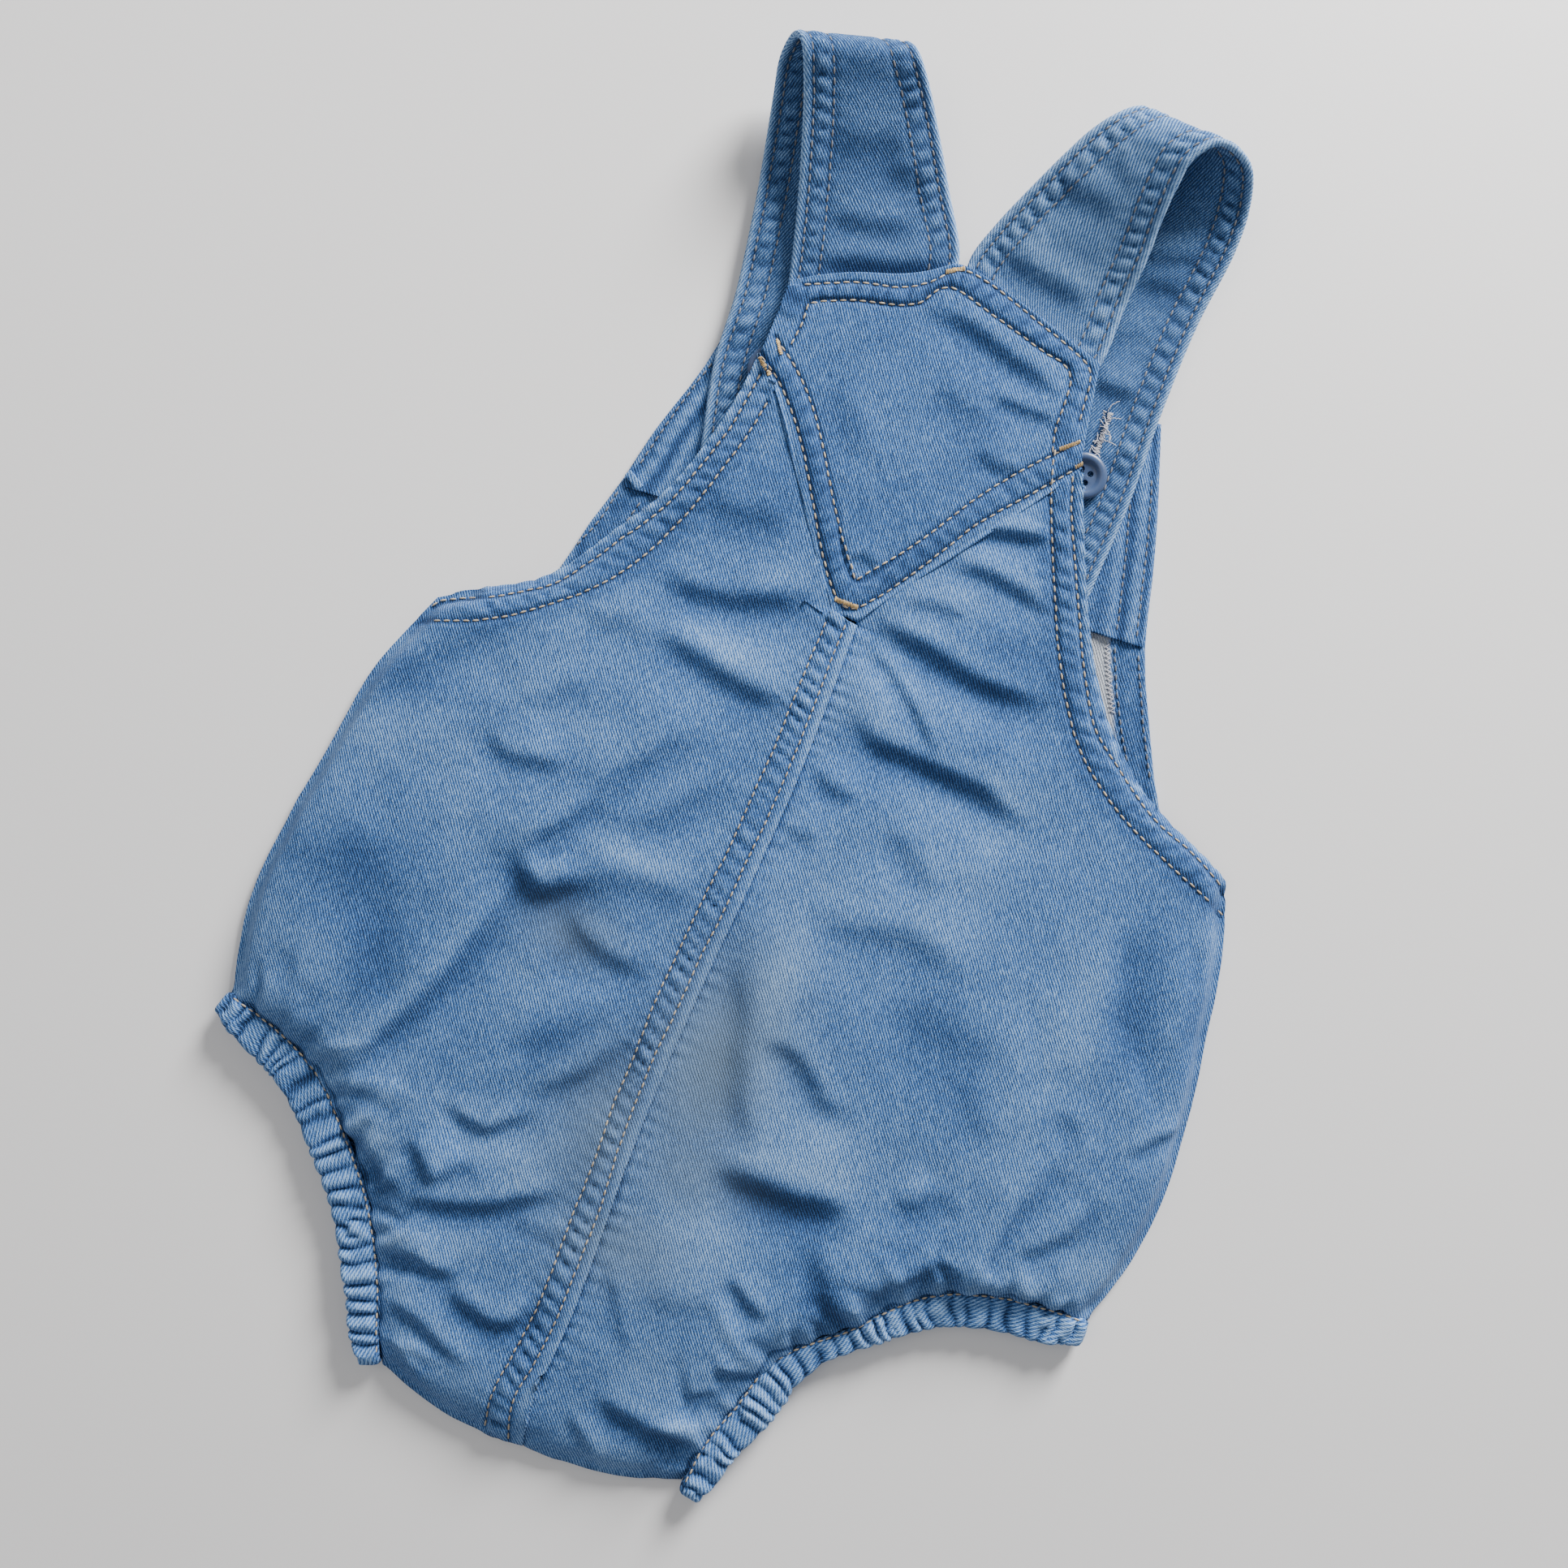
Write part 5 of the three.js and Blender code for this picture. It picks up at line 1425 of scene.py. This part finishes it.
def overcast(name, tree, path, look):
    # slanting pairs of thread along a raw edge
    shape, dice = bmesh.new(), random.Random(look["seed"])
    points, normals = projected(tree, path, look["pitch"])
    for k, (a, b) in enumerate(zip(points[:-1], points[1:])):
        ahead = (b - a) / np.linalg.norm(b - a)
        across = np.cross(normals[k], ahead)
        lean = ahead * (0.7 if k % 2 else -0.7)
        addStitch(shape, a + across * dice.uniform(-0.1, 0.1) + normals[k] * 0.25, across + lean, normals[k],
                  look["length"] * dice.uniform(0.85, 1.15), look["radius"])
    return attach(objectFrom(name, meshFrom(shape, name), frayedThread), "root")


overcastThread = overcast("overcastThread", frontTree, [(1364, 796), (1366, 840), (1371, 880)],
                          {"pitch": 0.7, "length": 2.4, "radius": 0.17, "seed": 108})


def frayedButtonhole(name, tree, ends, look):
    # worn stitches on both sides of the slit, and loose ends of thread
    shape, dice = bmesh.new(), random.Random(look["seed"])
    for place, ahead, across, up in rowAcross(tree, *ends, look["pitch"]):
        for side in (1, -1):
            addStitch(shape, place + across * side * dice.uniform(1.1, 1.5) + up * 0.2, across + ahead * dice.uniform(-0.6, 0.6),
                      up, dice.uniform(1.6, 2.4), look["radius"])
        if dice.random() < look["loose"]:
            spot, heading = place + across * dice.uniform(-1, 1), dice.uniform(0, 2 * math.pi)
            for step in range(dice.randint(4, 8)):
                toward = across * math.cos(heading) + ahead * math.sin(heading)
                spot = spot + toward * 0.7
                addStitch(shape, spot + up * (0.5 + 0.07 * step), toward, up, 0.95, 0.15)
                heading += dice.uniform(-0.6, 0.6)
    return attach(objectFrom(name, meshFrom(shape, name), frayedThread), "root")


buttonhole = frayedButtonhole("buttonholeRight", treeOf(strapRight), buttonholes["strap_right"],
                              {"pitch": 0.45, "radius": 0.22, "loose": 0.6, "seed": 109})


def foldedCorner(name, tree, start, end, look):
    # a small rounded tuck of cloth
    a, b = (np.array(besideThrough(tree, *spot, 3)[0]) / mm for spot in (start, end))
    shape = bmesh.new()
    bmesh.ops.create_cube(shape, size=1)
    turn = Matrix.Rotation(math.atan2(b[1] - a[1], b[0] - a[0]), 4, "Z")
    bmesh.ops.scale(shape, verts=shape.verts, vec=(np.linalg.norm(b - a) * mm, look["wide"] * mm, look["high"] * mm))
    bmesh.ops.bevel(shape, geom=shape.edges[:], offset=look["round"] * mm, offset_type="OFFSET", segments=4, profile=0.5,
                    affect="EDGES", material=-1, clamp_overlap=True)
    bmesh.ops.transform(shape, matrix=turn, verts=shape.verts)
    bmesh.ops.translate(shape, verts=shape.verts, vec=((a + b) / 2 + np.array([0, 0, look["high"] * 0.4])) * mm)
    mesh = meshFrom(shape, name)
    painted(mesh, wear=np.full(len(mesh.vertices), 0.3))
    return dressed(objectFrom(name, mesh, denim), "denim")


bibCorner = foldedCorner("bibCornerLeft", frontTree, (774, 583), (789, 602), {"wide": 2.6, "high": 1.3, "round": 0.55})
print("stitches and buttonhole sewn")

# Stage: pale table, soft window light from the top of the photograph
table = {"size": 3.0, "drop": 0.0002}


def paleTable():
    finish = Finish("paleTable")
    place = finish.node("ShaderNodeTexCoord", output="Object")
    cloud = finish.node("ShaderNodeTexNoise", None, {"Vector": place, "Scale": 3.0, "Detail": 3.0})
    grit = finish.node("ShaderNodeTexNoise", None, {"Vector": place, "Scale": 500.0, "Detail": 2.0})
    colour = finish.mixed(cloud, sRgb(233, 231, 229), sRgb(239, 237, 236))
    bump = finish.node("ShaderNodeBump", None, {"Strength": 0.05, "Distance": 0.0002, "Height": grit})
    return finish.surface(Base_Color=colour, Roughness=0.36, Normal=bump)


shape = bmesh.new()
bmesh.ops.create_grid(shape, x_segments=2, y_segments=2, size=table["size"] / 2)
bmesh.ops.translate(shape, verts=shape.verts, vec=(0, 0, -table["drop"]))
floor = objectFrom("table", meshFrom(shape, "table"), paleTable())

lights = {
    # name: place in the photograph's directions (right, up, height), size, watts, colour
    "window": ((0.8, 1.15, 0.62), 0.6, 66.0, (1.0, 1.0, 1.0)),
    "room": ((-0.7, 0.3, 1.6), 1.6, 6.0, (1.0, 0.98, 0.96)),
}
for name, (spot, size, power, colour) in lights.items():
    lamp = bpy.data.lights.new(name, "AREA")
    lamp.shape, lamp.size, lamp.energy, lamp.color = "DISK", size, power, colour
    holder = bpy.data.objects.new(name, lamp)
    bpy.context.scene.collection.objects.link(holder)
    c, s = math.cos(photo["turn"]), math.sin(photo["turn"])
    right, up, high = spot
    holder.location = (right * c - up * s, right * s + up * c, high)
    holder.rotation_euler = (-Vector(holder.location)).to_track_quat("-Z", "Y").to_euler()

world = bpy.data.worlds.new("room")
bpy.context.scene.world = world
world.use_nodes = True
background = world.node_tree.nodes["Background"]
background.inputs["Color"].default_value = (0.86, 0.88, 0.92, 1)
background.inputs["Strength"].default_value = 0.37

camera = bpy.data.cameras.new("camera")
camera.lens, camera.sensor_width, camera.sensor_fit = photo["lens"], photo["sensor"], "AUTO"
cameraHolder = bpy.data.objects.new("camera", camera)
bpy.context.scene.collection.objects.link(cameraHolder)
cameraHolder.location = eye
cameraHolder.rotation_euler = (0, 0, photo["turn"])
bpy.context.scene.camera = cameraHolder
